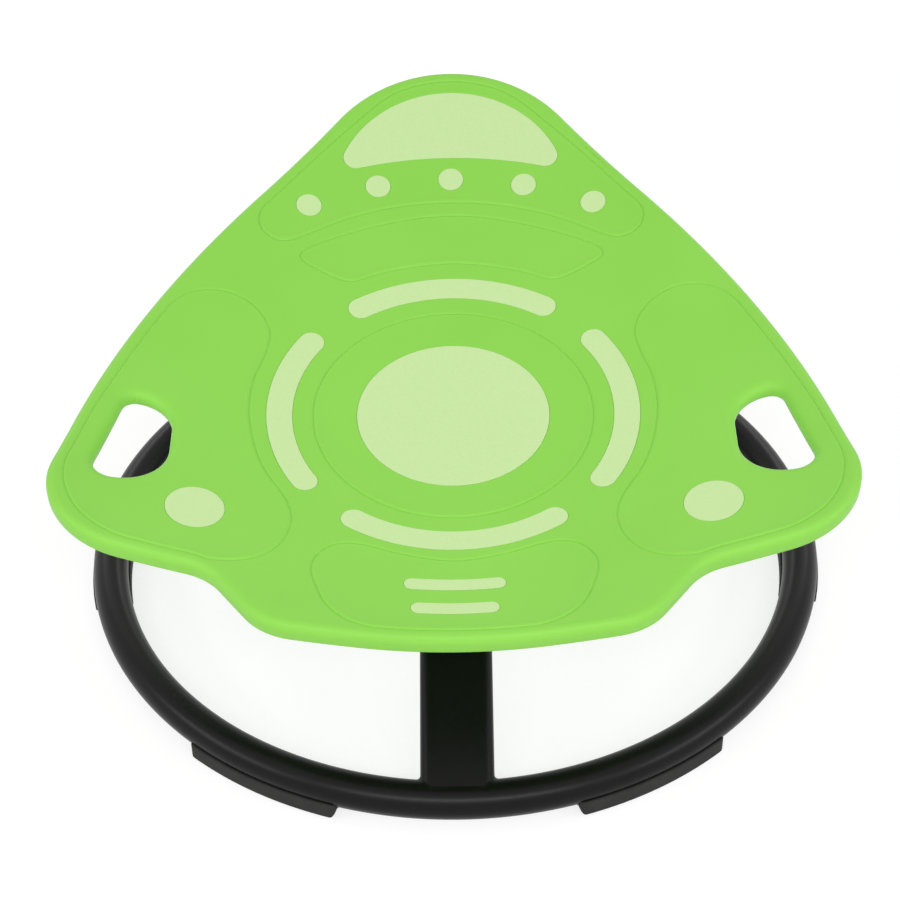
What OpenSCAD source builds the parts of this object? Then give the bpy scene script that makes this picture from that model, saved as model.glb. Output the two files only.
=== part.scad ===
// Toddler spinning seat: a dished moulded seat with glow inlays that turns on ball bearings,
// carried by a bent flat-oval arch on a floor ring of round tube with rubber saddle feet.
// Millimetres, +Z up, front towards -Y, origin at the centre of the floor ring on the floor.

/* [Seat outline] */
// Overall width of the seat across the two front corners
seat_w = 586; // [552:1:620]
// Reach of the rear apex from the spin axis
seat_rear = 341; // [330:1:362]
// Reach of the front edge from the spin axis
seat_front = 239; // [229:1:252]
// Radius of the rounded rear apex
apex_r = 120; // [90:1:130]
// Radius of the long bowed sides
side_r = 650; // [600:10:900]
// Radius of the two front corners
corner_r = 65; // [40:1:70]
// Radius of the hollow between a front corner and the front tongue
shoulder_r = 39; // [30:1:48]
// Radius of the corners of the front tongue
tongue_r = 46; // [30:1:52]
// Radius of the bowed front edge
front_r = 600; // [400:10:700]

/* [Seat shell] */
// Radius of the shallow dish that the seat surface follows
dish_r = 910; // [850:5:1100]
// Height of the middle of the dish along the spin axis
seat_h = 180; // [174:1:195]
// Wall thickness of the moulded skin
skin_t = 4; // [3.5:0.1:5]
// Wall thickness of the skirt round the rim
skirt_t = 3.5; // [3:0.1:4.5]
// Depth of the rim below the seat surface
rim_depth = 16; // [14:0.5:20]
// Radius of the rolled top edge of the rim
roll_r = 8; // [7:0.5:9]
// Depth of the stiffening ribs below the skin
rib_depth = 9; // [6:0.5:11]
// Thickness of the stiffening ribs
rib_t = 3; // [2:0.1:4]
// Number of radial ribs
rib_count = 12; // [6:2:16]
// Radius of the ring rib
ring_rib_r = 150; // [120:1:170]

/* [Hand holes] */
// Distance from the side of the seat to the inner edge of a hand hole
hole_inner_edge = 82; // [76:1:90]
// Distance from the side of the seat to the rear end of the grip bar's edge
hole_grip_rear = 47; // [43:1:51]
// Distance from the side of the seat to the front end of the grip bar's edge
hole_grip_front = 28; // [26:1:32]
// Rear end of a hand hole, in front of the spin axis
hole_rear_v = 5; // [2:1:14]
// Front end of a hand hole, in front of the spin axis
hole_front_v = 91; // [86:1:97]
// Radius of a hand hole's rear inner corner
hole_rear_r = 28; // [15:1:30]
// Radius of a hand hole's front inner corner
hole_front_r = 34; // [20:1:38]
// Radius of the hand hole's two corners at the grip bar
hole_grip_r = 9; // [6:0.5:12]
// Depth of the lip round a hand hole
hole_lip = 12; // [11.5:0.5:15]

/* [Glow inserts] */
// Thickness of the glow inserts
glow_t = 1.6; // [1.2:0.1:2]
// Radius of the round centre insert
disc_r = 73.6; // [60:0.1:80]
// Mean radius of the four arc inserts
arc_r = 132.4; // [125:0.1:140]
// Width of the arc inserts
arc_w = 21.8; // [16:0.1:26]
// Angle from the middle of an arc insert to the centre of its round end
arc_half = 33.4; // [25:0.1:36]
// Radius of the two spot inserts beside the hand holes
spot_r = 21.3; // [15:0.1:24]
// Sideways place of the spot inserts
spot_u = 187; // [175:1:192]
// Place of the spot inserts in front of the spin axis
spot_v = 112; // [104:1:120]
// Radius of the five dot inserts
dot_r = 10.4; // [8:0.1:12]
// Radius of the circle that the dots lie on
dot_ring_r = 240.5; // [236:0.5:246]
// Angle between two dots
dot_pitch = 14.5; // [10:0.5:17]
// Radius of the rear cap insert's outer arc
cap_r = 93; // [80:0.5:96]
// Centre of the rear cap insert's outer arc behind the spin axis
cap_v = 232; // [228:0.5:238]
// Radius of the rear cap insert's inner arc, about the spin axis
cap_floor_r = 261; // [256:0.5:268]
// Radius of the rear cap insert's two corners
cap_corner_r = 8; // [4:0.5:10]
// Place of the rear one of the two bar inserts in front of the spin axis
bar_v = 180; // [174:0.5:184]
// Distance between the two bar inserts
bar_pitch = 25.5; // [20:0.5:28]
// Width of the bar inserts
bar_w = 11.6; // [8:0.1:14]
// Length of the rear bar insert
bar_long = 72; // [50:1:80]
// Length of the front bar insert
bar_short = 62; // [40:1:70]
// Radius that the bar inserts are bent to
bar_bend_r = 320; // [250:5:500]

/* [Hub and spindle] */
// Forward tilt of the spin axis in degrees
tilt = 8; // [5:0.5:9]
// Distance of the spin axis in front of the ring centre, on the floor
pivot_forward = 10; // [4:1:14]
// Depth of the mounting bosses under the skin
boss_depth = 14; // [13:0.5:18]
// Radius of the ring wall round the mounting bosses
boss_ring_r = 66; // [62:0.5:72]
// Radius of a mounting boss
boss_r = 9.5; // [8.5:0.1:11]
// Radius of the hub plate
plate_r = 70; // [68:1:74]
// Thickness of the hub plate
plate_t = 5; // [4:0.5:6]
// Number of hub bolts
bolt_count = 6; // [4:1:8]
// Radius of the hub bolt circle
bolt_ring_r = 48; // [42:0.5:52]
// Radius of a hub bolt's shank
bolt_r = 3.9; // [3:0.1:4]
// Width across flats of a hub bolt's head
bolt_af = 13; // [10:0.5:14]
// Height of a hub bolt's head
bolt_head_h = 5.5; // [4:0.1:6]
// Radius of the flange under a hub bolt's head
bolt_flange_r = 8.5; // [7:0.1:9]
// Radius of a threaded brass insert
brass_r = 5.5; // [5:0.1:6.5]
// Length of a threaded brass insert
brass_len = 12; // [8:0.5:13]
// Radius of the spindle in the bearings
spindle_r = 8.5; // [8:0.1:9]
// Radius of the spindle's collar
collar_r = 12; // [11:0.1:13]
// Length of the spindle's collar below the hub plate
collar_len = 10; // [9:0.5:14]
// Radius of the spindle's threaded end
thread_r = 7; // [6:0.1:7.6]

/* [Bearings] */
// Outer radius of a ball bearing
bearing_r = 17.5; // [17:0.1:18.5]
// Width of a ball bearing
bearing_w = 10; // [9:0.5:12]
// Radius of the circle that the balls run on
ball_ring_r = 13; // [12.7:0.1:13.3]
// Radius of a bearing ball
ball_r = 2.4; // [2.1:0.05:2.6]
// Number of balls in a bearing
ball_count = 10; // [7:1:11]
// Length of the spacer between the two bearings
spacer_len = 34; // [30:0.5:40]
// Outer radius of the spacer between the inner races
spacer_r = 11; // [10.5:0.1:12]
// Outer radius of the bearing housing
housing_r = 21; // [20.5:0.1:22]
// Length of the housing above the arch
housing_proud = 16; // [14:0.5:18]
// Outer radius of the washer under the spindle nut
washer_r = 14; // [12:0.5:15]
// Thickness of the washer under the spindle nut
washer_t = 3; // [2:0.5:4]
// Width across flats of the spindle nut
nut_af = 21; // [18:0.5:24]
// Height of the spindle nut
nut_h = 13; // [10:0.5:16]
// Length of the housing that the bottom cap grips
cap_grip = 8; // [5:0.5:10]
// Wall thickness of the bottom cap
cup_t = 2.5; // [2:0.1:3.5]

/* [Base] */
// Radius of the floor ring's centreline
ring_r = 282; // [272:1:295]
// Radius of the round tube
tube_r = 14; // [13.5:0.1:15]
// Wall thickness of the round tube
tube_t = 1.5; // [1:0.1:2]
// Width of the arch's flat-oval tube
arch_w = 54; // [50.5:0.5:58]
// Thickness of the arch's flat-oval tube
arch_t = 26; // [24:0.5:27]
// Corner radius of the arch's flat-oval tube
arch_corner_r = 9; // [6:0.5:11]
// Wall thickness of the arch's tube
arch_wall = 2; // [1.5:0.1:2.5]
// Reach of the arch's two bends from the ring centre
arch_reach = 70; // [64:1:95]
// Radius of the arch's bends, on the centreline
arch_bend_r = 55; // [45:1:65]
// Thickness of a foot under the tube
foot_sole = 6; // [5:0.5:8]
// Height of a foot
foot_h = 15; // [12:0.5:18]
// Width of a foot
foot_w = 33; // [32:0.5:38]
// Angle that a foot spans on the ring
foot_span = 25; // [22:0.5:30]
// Radius of the lower corners along a foot
foot_corner_r = 4; // [2:0.5:5]
// Radius of the lower corners at the ends of a foot
foot_end_r = 6; // [3:0.5:8]
// Angle between the two screws of a foot
foot_screw_pitch = 15; // [10:0.5:18]
// Radius of a foot screw's shank
screw_r = 2; // [1.5:0.1:2.4]
// Radius of a foot screw's head
screw_head_r = 4; // [3.5:0.1:5]
// Height of a foot screw's head
screw_head_h = 2.4; // [1.8:0.1:2.6]
// Depth of a foot screw's head below the sole
screw_sunk = 1; // [0.5:0.1:1.4]

/* [Fits] */
// Gap round a glow insert in its pocket
glow_gap = 0.15; // [0.1:0.05:0.3]
// Radial gap of pieces that slide together and stay fixed
slip_gap = 0.05; // [0.02:0.01:0.1]
// Gap between a ball and its raceways and pocket
ball_gap = 0.15; // [0.1:0.01:0.2]
// Gap between the dust seal and what turns past it
seal_gap = 0.3; // [0.2:0.05:0.6]
// Gap between a welded part and its hole
weld_gap = 0.1; // [0.05:0.05:0.2]
// Radial play of a screw or bolt in a plain hole
bolt_play = 0.4; // [0.2:0.05:0.6]

/* [Hidden] */

$fn = 72;
// Facets of the large dish spheres
dish_fn = 400;
// Length by which every cut runs past the surface that it opens
overrun = 1;
// Longest step between two points of a moulded outline
outline_step = 18;
// Largest turn between two points of a moulded outline, in degrees
outline_turn = 12;
// Farthest that a chord of an insert's outline lies from its arc
curve_sag = 0.05;
// Flat steps in a rounded corner of a foot
foot_steps = 5;

green = [0.57, 0.84, 0.35];
pale_green = [0.79, 0.90, 0.65];
satin_black = [0.06, 0.06, 0.06];
rubber_black = [0.17, 0.17, 0.17];
zinc = [0.72, 0.73, 0.75];
brass = [0.80, 0.65, 0.35];
steel = [0.62, 0.63, 0.65];
nylon = [0.90, 0.89, 0.84];

// Heights along the spin axis, from the seat down
boss_bottom = seat_h - skin_t - boss_depth;
plate_bottom = boss_bottom - plate_t;
upper_top = plate_bottom - collar_len;
upper_bottom = upper_top - bearing_w;
lower_top = upper_bottom - spacer_len;
lower_bottom = lower_top - bearing_w;
// Depth of the bearings inside the ends of the housing
housing_recess = 1;
housing_top = upper_top + housing_recess;
housing_bottom = lower_bottom - housing_recess;
arch_h = housing_top - housing_proud - arch_t / 2;
nut_top = lower_bottom - washer_t;
nut_bottom = nut_top - nut_h;
// Length of thread that shows below the nut
thread_proud = 3;
spindle_end = nut_bottom - thread_proud;
// Room between the end of the spindle and the bottom cap
cap_room = 2;
cap_floor = spindle_end - cap_room;
ring_h = foot_sole + tube_r;

// Corners of the seat outline, as shares of the half width and of the rear or front reach
apex_share = 1.22;
side_shares = [0.849, 0.303];
corner_shares = [1.045, 0.631];
shoulder_shares = [0.596, 0.72];
tongue_shares = [0.456, 0.949];
front_share = 1.011;
seat_half = seat_w / 2;

function rear_point(shares) = [shares[0] * seat_half, shares[1] * seat_rear];
function front_point(shares) = [shares[0] * seat_half, -shares[1] * seat_front];
function corner(point, radius) = [point[0], point[1], radius];
function mirrored(c) = [-c[0], c[1], c[2]];

right_corners = [
  corner(front_point(tongue_shares), tongue_r),
  corner(front_point(shoulder_shares), shoulder_r),
  corner(front_point(corner_shares), corner_r),
  corner(rear_point(side_shares), side_r)
];
seat_corners = concat(
  [[0, -front_share * seat_front, front_r]],
  right_corners,
  [[0, apex_share * seat_rear, apex_r]],
  [for (i = [len(right_corners) - 1:-1:0]) mirrored(right_corners[i])]
);

// Corners of the right hand hole, counter-clockwise from its rear inner corner
hole_corners = [
  [seat_half - hole_inner_edge, -hole_rear_v, hole_rear_r],
  [seat_half - hole_inner_edge, -hole_front_v, hole_front_r],
  [seat_half - hole_grip_front, -hole_front_v, hole_grip_r],
  [seat_half - hole_grip_rear, -hole_rear_v, hole_grip_r]
];

function flat(c) = [c[0], c[1]];
function direction(a, b) = (b - a) / norm(b - a);
function left_of(d) = [-d[1], d[0]];
function turned(v, angle) = [v[0] * cos(angle) - v[1] * sin(angle), v[0] * sin(angle) + v[1] * cos(angle)];
function at(list, i) = list[(i + len(list)) % len(list)];
function side_length(cs, i) = norm(flat(at(cs, i + 1)) - flat(at(cs, i)));
function incoming(cs, i) = direction(flat(at(cs, i - 1)), flat(at(cs, i)));
function turn_at(cs, i) = acos(incoming(cs, i) * incoming(cs, i + 1));
function tangent_at(cs, i) = at(cs, i)[2] * tan(turn_at(cs, i) / 2);

// A corner's rounding takes no more of a side than the side has room for
function fitted_tangent(cs, i) = tangent_at(cs, i) * min(
  1,
  side_length(cs, i - 1) / (tangent_at(cs, i - 1) + tangent_at(cs, i)),
  side_length(cs, i) / (tangent_at(cs, i) + tangent_at(cs, i + 1))
);

function rounded_corner(cs, i) =
  let (
    into = incoming(cs, i),
    bend = turn_at(cs, i),
    tangent = fitted_tangent(cs, i),
    radius = tangent / tan(bend / 2),
    hand = sign(cross(into, incoming(cs, i + 1))),
    start = flat(at(cs, i)) - into * tangent,
    spoke = left_of(into) * hand * radius,
    steps = ceil(max(bend / outline_turn, radius * bend * PI / 180 / outline_step))
  )
  [for (k = [0:steps]) start + spoke + turned(-spoke, hand * bend * k / steps)];

function rounded_outline(cs) = [for (i = [0:len(cs) - 1]) each rounded_corner(cs, i)];

// The same outline with its long straight stretches divided
function divided(points) = [
  for (i = [0:len(points) - 1])
    let (a = points[i], b = at(points, i + 1), steps = max(1, ceil(norm(b - a) / outline_step)))
      for (k = [0:steps - 1]) a + (b - a) * k / steps
];
function outward(points, i) = -left_of(direction(at(points, i - 1), at(points, i + 1)));
function inset(points, by) = [for (i = [0:len(points) - 1]) points[i] - outward(points, i) * by];
function reversed(points) = [for (i = [len(points) - 1:-1:0]) points[i]];
function other_side(points) = [for (p = reversed(points)) [-p[0], p[1]]];

seat_outline = divided(rounded_outline(seat_corners));
right_hole = divided(rounded_outline(hole_corners));
hole_outlines = [right_hole, other_side(right_hole)];

// Height of the surface that lies a given depth below the dish
function dish_z(p, depth) = seat_h + dish_r - sqrt(pow(dish_r + depth, 2) - p * p);

// Section of a rolled edge as inset and depth: up the outside, over the roll and down the inside
roll_angles = [0:18:72];
roll_inset = 0.75 * roll_r;
tuck_inset = 1.3 * roll_r;
function edge_section(depth) = concat(
  [[0, depth]],
  [for (angle = roll_angles) [roll_r * (1 - cos(angle)), roll_r * (1 - sin(angle))]],
  [
    [tuck_inset, skin_t / 3],
    [tuck_inset, skin_t * 2 / 3],
    [roll_r, skin_t + skirt_t / 2],
    [skirt_t, roll_r + skirt_t / 2],
    [skirt_t, depth]
  ]
);

module on_axis() {
  translate([0, -pivot_forward, 0])
    rotate([tilt, 0, 0])
      children();
}

// Solid ball whose underside lies a given depth below the dish, with its poles turned to the sides
module dish_ball(depth) {
  translate([0, 0, seat_h + dish_r])
    rotate([90, 0, 0])
      sphere(dish_r + depth, $fn = dish_fn);
}

module dish_layer(top, bottom) {
  difference() {
    dish_ball(bottom);
    dish_ball(top);
  }
}

// Upright prism that reaches from below the bosses to above the rim
module upright() {
  translate([0, 0, boss_bottom - overrun])
    linear_extrude(dish_z([0, seat_rear], 0) + boss_depth - boss_bottom)
      children();
}

// Closed band swept round an outline, with the section of a rolled edge
module rolled_edge(points, depth) {
  section = edge_section(depth);
  rings = len(section);
  count = len(points);
  vertices = [
    for (s = section, p = inset(points, s[0]))
      [p[0], p[1], dish_z(p, s[1])]
  ];
  faces = [
    for (k = [0:rings - 1], i = [0:count - 1])
      let (
        a = k * count + i,
        b = ((k + 1) % rings) * count + i,
        c = ((k + 1) % rings) * count + (i + 1) % count,
        d = k * count + (i + 1) % count
      )
        each [[a, b, c], [a, c, d]]
  ];
  polyhedron(vertices, faces);
}

module seat_skin() {
  intersection() {
    dish_layer(0, skin_t);
    upright()
      difference() {
        polygon(inset(seat_outline, roll_inset));
        for (hole = hole_outlines)
          polygon(inset(hole, -roll_inset));
      }
  }
}

module rib_plan() {
  for (i = [0:rib_count - 1])
    rotate(i * 360 / rib_count)
      translate([boss_ring_r - rib_t, -rib_t / 2])
        square([seat_rear, rib_t]);
  difference() {
    circle(ring_rib_r + rib_t / 2);
    circle(ring_rib_r - rib_t / 2);
  }
}

module seat_ribs() {
  // The ribs stop short of the rim and of the lips round the hand holes
  rib_stop = roll_r + skirt_t;
  intersection() {
    dish_layer(skin_t / 2, skin_t + rib_depth);
    upright()
      intersection() {
        rib_plan();
        difference() {
          polygon(inset(seat_outline, rib_stop));
          for (hole = hole_outlines)
            polygon(inset(hole, -rib_stop));
        }
      }
  }
}

module ring_wall(radius, thickness) {
  difference() {
    circle(radius);
    circle(radius - thickness);
  }
}

module boss_plan() {
  inner_ring_r = bolt_ring_r - boss_r - rib_t;
  ring_wall(boss_ring_r, skin_t);
  ring_wall(inner_ring_r, skin_t);
  for (i = [0:bolt_count - 1])
    rotate(i * 360 / bolt_count) {
      translate([bolt_ring_r, 0])
        circle(boss_r);
      rotate(180 / bolt_count)
        translate([inner_ring_r - rib_t, -rib_t / 2])
          square([boss_ring_r - inner_ring_r, rib_t]);
    }
}

module mounting_bosses() {
  difference() {
    translate([0, 0, boss_bottom])
      linear_extrude(dish_z([boss_ring_r, 0], 0) - boss_bottom)
        boss_plan();
    dish_ball(skin_t / 2);
  }
}

module at_bolts() {
  for (i = [0:bolt_count - 1])
    rotate(i * 360 / bolt_count)
      translate([bolt_ring_r, 0, 0])
        children();
}

// Plan shapes of the glow inserts, each grown by the gap of its pocket
function on_circle(middle, radius, angle) = middle + radius * [cos(angle), sin(angle)];
function arc_steps(radius, sweep) = max(2, ceil(abs(sweep) * PI / 180 / sqrt(8 * curve_sag / radius)));

// Points of an arc without its last one, where the next arc goes on
function arc_points(middle, radius, from, to) =
  let (steps = arc_steps(radius, to - from))
    [for (k = [0:steps - 1]) on_circle(middle, radius, from + (to - from) * k / steps)];

// Band of even width bent round the origin, with round ends, its middle towards +Y
function band_points(radius, half_angle, width, grow) =
  let (
    first = 90 - half_angle,
    last = 90 + half_angle,
    half = width / 2 + grow
  )
    concat(
      arc_points([0, 0], radius + half, first, last),
      arc_points(on_circle([0, 0], radius, last), half, last, last + 180),
      arc_points([0, 0], radius - half, last, first),
      arc_points(on_circle([0, 0], radius, first), half, first - 180, first)
    );

module dots_plan(grow) {
  for (i = [-2:2])
    rotate(i * dot_pitch)
      translate([0, dot_ring_r])
        circle(dot_r + grow);
}

module cap_plan(grow) {
  outer = cap_r + grow;
  inner = cap_floor_r - grow;
  round_r = cap_corner_r + grow;
  // Centre of the small circle that rounds a corner between the two arcs
  to_outer = outer - round_r;
  to_inner = inner + round_r;
  corner_v = (pow(to_inner, 2) - pow(to_outer, 2) + pow(cap_v, 2)) / (2 * cap_v);
  corner_u = sqrt(pow(to_inner, 2) - pow(corner_v, 2));
  outer_angle = atan2(corner_v - cap_v, corner_u);
  inner_angle = atan2(corner_v, corner_u);
  polygon(concat(
    arc_points([0, 0], inner, 180 - inner_angle, inner_angle),
    arc_points([corner_u, corner_v], round_r, inner_angle - 180, outer_angle),
    arc_points([0, cap_v], outer, outer_angle, 180 - outer_angle),
    arc_points([-corner_u, corner_v], round_r, 180 - outer_angle, 360 - inner_angle)
  ));
}

module bar_plan(grow, v, length) {
  half_angle = asin((length - bar_w) / 2 / bar_bend_r);
  translate([0, bar_bend_r - v])
    rotate(180)
      polygon(band_points(bar_bend_r, half_angle, bar_w, grow));
}

module spot_plan(grow, side) {
  translate([side * spot_u, -spot_v])
    circle(spot_r + grow);
}

module disc_plan(grow) {
  circle(disc_r + grow);
}

module arc_at(angle, grow) {
  rotate(angle)
    polygon(band_points(arc_r, arc_half, arc_w, grow));
}

module insert_plans(grow) {
  disc_plan(grow);
  for (angle = [0:90:270])
    arc_at(angle, grow);
  for (side = [-1, 1])
    spot_plan(grow, side);
  dots_plan(grow);
  cap_plan(grow);
  bar_plan(grow, bar_v, bar_long);
  bar_plan(grow, bar_v + bar_pitch, bar_short);
}

module glow_insert() {
  color(pale_green)
    on_axis()
      intersection() {
        dish_layer(0, glow_t);
        upright()
          children();
      }
}

module seat_shell() {
  color(green)
    on_axis()
      difference() {
        union() {
          seat_skin();
          rolled_edge(seat_outline, rim_depth);
          for (hole = hole_outlines)
            rolled_edge(reversed(hole), hole_lip);
          seat_ribs();
          mounting_bosses();
        }
        intersection() {
          dish_layer(-overrun, glow_t);
          upright()
            insert_plans(glow_gap);
        }
        at_bolts()
          translate([0, 0, boss_bottom - overrun])
            cylinder(h = brass_len + 2 * overrun, r = brass_r + slip_gap);
      }
}

module centre_insert() {
  glow_insert()
    disc_plan(0);
}

module arc_insert(angle) {
  glow_insert()
    arc_at(angle, 0);
}

module spot_insert(side) {
  glow_insert()
    spot_plan(0, side);
}

module rear_cap_insert() {
  glow_insert()
    cap_plan(0);
}

module rear_dot_inserts() {
  glow_insert()
    dots_plan(0);
}

module long_bar_insert() {
  glow_insert()
    bar_plan(0, bar_v, bar_long);
}

module short_bar_insert() {
  glow_insert()
    bar_plan(0, bar_v + bar_pitch, bar_short);
}

module hub_plate() {
  color(satin_black)
    on_axis()
      translate([0, 0, plate_bottom])
        difference() {
          cylinder(h = plate_t, r = plate_r);
          translate([0, 0, -overrun])
            cylinder(h = plate_t + 2 * overrun, r = spindle_r + slip_gap);
          at_bolts()
            translate([0, 0, -overrun])
              cylinder(h = plate_t + 2 * overrun, r = bolt_r + bolt_play);
        }
}

module hub_bolts() {
  flange_t = bolt_flange_r / 6;
  color(zinc)
    on_axis()
      at_bolts()
        translate([0, 0, plate_bottom]) {
          cylinder(h = plate_t + brass_len, r = bolt_r);
          translate([0, 0, -flange_t])
            cylinder(h = flange_t, r = bolt_flange_r);
          translate([0, 0, -bolt_head_h])
            cylinder(h = bolt_head_h, r = bolt_af / 2 / cos(30), $fn = 6);
        }
}

module threaded_inserts() {
  color(brass)
    on_axis()
      at_bolts()
        translate([0, 0, boss_bottom])
          difference() {
            cylinder(h = brass_len, r = brass_r);
            translate([0, 0, -overrun])
              cylinder(h = brass_len + 2 * overrun, r = bolt_r + slip_gap);
          }
}

module spindle() {
  // The top of the spindle ends flush with the hub plate
  color(steel)
    on_axis() {
      translate([0, 0, lower_bottom])
        cylinder(h = boss_bottom - lower_bottom, r = spindle_r);
      translate([0, 0, upper_top])
        cylinder(h = collar_len, r = collar_r);
      translate([0, 0, spindle_end])
        cylinder(h = lower_bottom - spindle_end, r = thread_r);
    }
}

module sleeve(bottom, height, outer, inner) {
  translate([0, 0, bottom])
    difference() {
      cylinder(h = height, r = outer);
      translate([0, 0, -overrun])
        cylinder(h = height + 2 * overrun, r = inner);
    }
}

module bearing_spacer() {
  color(steel)
    on_axis()
      sleeve(lower_top, spacer_len, spacer_r, spindle_r + slip_gap);
}

module raceway(bottom) {
  translate([0, 0, bottom + bearing_w / 2])
    rotate_extrude()
      translate([ball_ring_r, 0])
        circle(ball_r + ball_gap);
}

// The races leave a third of the ball's radius open on each side of the ball circle
race_open_share = 0.66;

module outer_race(bottom) {
  color(steel)
    on_axis()
      difference() {
        sleeve(bottom, bearing_w, bearing_r, ball_ring_r + race_open_share * ball_r);
        raceway(bottom);
      }
}

module inner_race(bottom) {
  color(steel)
    on_axis()
      difference() {
        sleeve(bottom, bearing_w, ball_ring_r - race_open_share * ball_r, spindle_r + slip_gap);
        raceway(bottom);
      }
}

module at_balls(bottom) {
  for (i = [0:ball_count - 1])
    rotate(i * 360 / ball_count)
      translate([ball_ring_r, 0, bottom + bearing_w / 2])
        children();
}

module ball_set(bottom) {
  color(zinc)
    on_axis()
      at_balls(bottom)
        sphere(ball_r);
}

module ball_cage(bottom) {
  cage_half = ball_r * 0.4;
  cage_h = 2.8 * ball_r;
  color(nylon)
    on_axis()
      difference() {
        sleeve(bottom + (bearing_w - cage_h) / 2, cage_h, ball_ring_r + cage_half, ball_ring_r - cage_half);
        at_balls(bottom)
          rotate([0, 90, 0])
            cylinder(h = 2 * ball_r, r = ball_r + ball_gap, center = true);
      }
}

module bearing_housing() {
  // The land between the bearings carries both outer races
  land_r = (bearing_r + ball_ring_r) / 2;
  color(satin_black)
    on_axis()
      difference() {
        translate([0, 0, housing_bottom])
          cylinder(h = housing_top - housing_bottom, r = housing_r);
        translate([0, 0, housing_bottom - overrun])
          cylinder(h = housing_top - housing_bottom + 2 * overrun, r = land_r);
        translate([0, 0, upper_bottom])
          cylinder(h = bearing_w + housing_recess + overrun, r = bearing_r + slip_gap);
        translate([0, 0, housing_bottom - overrun])
          cylinder(h = bearing_w + housing_recess + overrun, r = bearing_r + slip_gap);
      }
}

module housing_cap() {
  color(satin_black)
    on_axis()
      difference() {
        translate([0, 0, cap_floor - cup_t])
          cylinder(h = housing_bottom + cap_grip - cap_floor + cup_t, r = housing_r + slip_gap + cup_t);
        translate([0, 0, housing_bottom])
          cylinder(h = cap_grip + overrun, r = housing_r + slip_gap);
        translate([0, 0, cap_floor])
          cylinder(h = housing_bottom - cap_floor + overrun, r = housing_r - cup_t);
      }
}

module spindle_washer() {
  color(zinc)
    on_axis()
      sleeve(nut_top, washer_t, washer_r, thread_r + bolt_play);
}

module spindle_nut() {
  color(zinc)
    on_axis()
      difference() {
        translate([0, 0, nut_bottom])
          cylinder(h = nut_h, r = nut_af / 2 / cos(30), $fn = 6);
        translate([0, 0, nut_bottom - overrun])
          cylinder(h = nut_h + 2 * overrun, r = thread_r + slip_gap);
      }
}

module dust_seal() {
  lip_r = (housing_r + bearing_r) / 2;
  body_r = (collar_r + lip_r) / 2;
  bottom = housing_top + seal_gap;
  waist = (bottom + plate_bottom) / 2;
  color(rubber_black)
    on_axis()
      rotate_extrude()
        polygon([
          [collar_r + slip_gap, waist],
          [body_r, bottom],
          [lip_r, bottom],
          [body_r, waist + seal_gap],
          [body_r, plate_bottom],
          [collar_r + slip_gap, plate_bottom]
        ]);
}

// Tube of the floor ring as a solid torus
module ring_torus(radius) {
  translate([0, 0, ring_h])
    rotate_extrude($fn = 180)
      translate([ring_r, 0])
        circle(radius);
}

// Angles of the six feet round the ring, counter-clockwise from the right
foot_angles = [for (i = [0:5]) i * 60];

module at_foot_screws() {
  for (angle = foot_angles, side = [-1, 1])
    rotate(angle + side * foot_screw_pitch / 2)
      translate([ring_r, 0, 0])
        children();
}

module base_ring() {
  color(satin_black)
    difference() {
      ring_torus(tube_r);
      ring_torus(tube_r - tube_t);
      at_foot_screws()
        cylinder(h = ring_h, r = screw_r + slip_gap);
    }
}

// The arch rises from the ring, runs square to the spin axis and comes down to the ring again.
// Its path lies in the upright plane through the front and the rear, as [y, z].
arch_axis_point = [-pivot_forward - arch_h * sin(tilt), arch_h * cos(tilt)];
function arch_run(y) = [y, arch_axis_point[1] + (y - arch_axis_point[0]) * tan(tilt)];
arch_path = [[-ring_r, ring_h], arch_run(-arch_reach), arch_run(arch_reach), [ring_r, ring_h]];
function arch_heading(i) = direction(arch_path[i], arch_path[i + 1]);
function heading_angle(i) = atan2(arch_heading(i)[1], arch_heading(i)[0]);

// Stations of a bend as [point, heading]
function bend_stations(i) =
  let (
    bend = heading_angle(i - 1) - heading_angle(i),
    start = arch_path[i] - arch_heading(i - 1) * arch_bend_r * tan(bend / 2),
    spoke = left_of(arch_heading(i - 1)) * arch_bend_r,
    steps = ceil(bend / outline_turn)
  )
  [
    for (k = [0:steps])
      let (turn = bend * k / steps)
        [start - spoke + turned(spoke, -turn), heading_angle(i - 1) - turn]
  ];

function arch_stations(past) = concat(
  [[arch_path[0] - arch_heading(0) * past, heading_angle(0)]],
  bend_stations(1),
  bend_stations(2),
  [[arch_path[3] + arch_heading(2) * past, heading_angle(2)]]
);

// Outline of the flat-oval tube, a wall thickness inside its outer face, across and along its width
function oval_points(wall) =
  let (
    radius = arch_corner_r - wall,
    across = arch_t / 2 - arch_corner_r,
    along = arch_w / 2 - arch_corner_r,
    middles = [[across, along], [-across, along], [-across, -along], [across, -along]],
    steps = 5
  )
  [for (q = [0:3], k = [0:steps]) on_circle(middles[q], radius, 90 * (q + k / steps))];

module arch_tube(wall, past) {
  stations = arch_stations(past);
  section = oval_points(wall);
  count = len(section);
  last = len(stations) - 1;
  vertices = [
    for (s = stations, p = section)
      [p[1], s[0][0] - p[0] * sin(s[1]), s[0][1] + p[0] * cos(s[1])]
  ];
  sides = [
    for (k = [0:last - 1], i = [0:count - 1])
      let (
        a = k * count + i,
        b = a + count,
        d = k * count + (i + 1) % count,
        c = d + count
      )
        each [[a, b, c], [a, c, d]]
  ];
  ends = [
    [for (i = [0:count - 1]) i],
    [for (i = [count - 1:-1:0]) last * count + i]
  ];
  polyhedron(vertices, concat(sides, ends));
}

module support_arch() {
  color(satin_black)
    difference() {
      arch_tube(0, 0);
      arch_tube(arch_wall, overrun);
      ring_torus(tube_r);
      on_axis()
        translate([0, 0, housing_bottom])
          cylinder(h = housing_top - housing_bottom, r = housing_r + weld_gap);
    }
}

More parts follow.
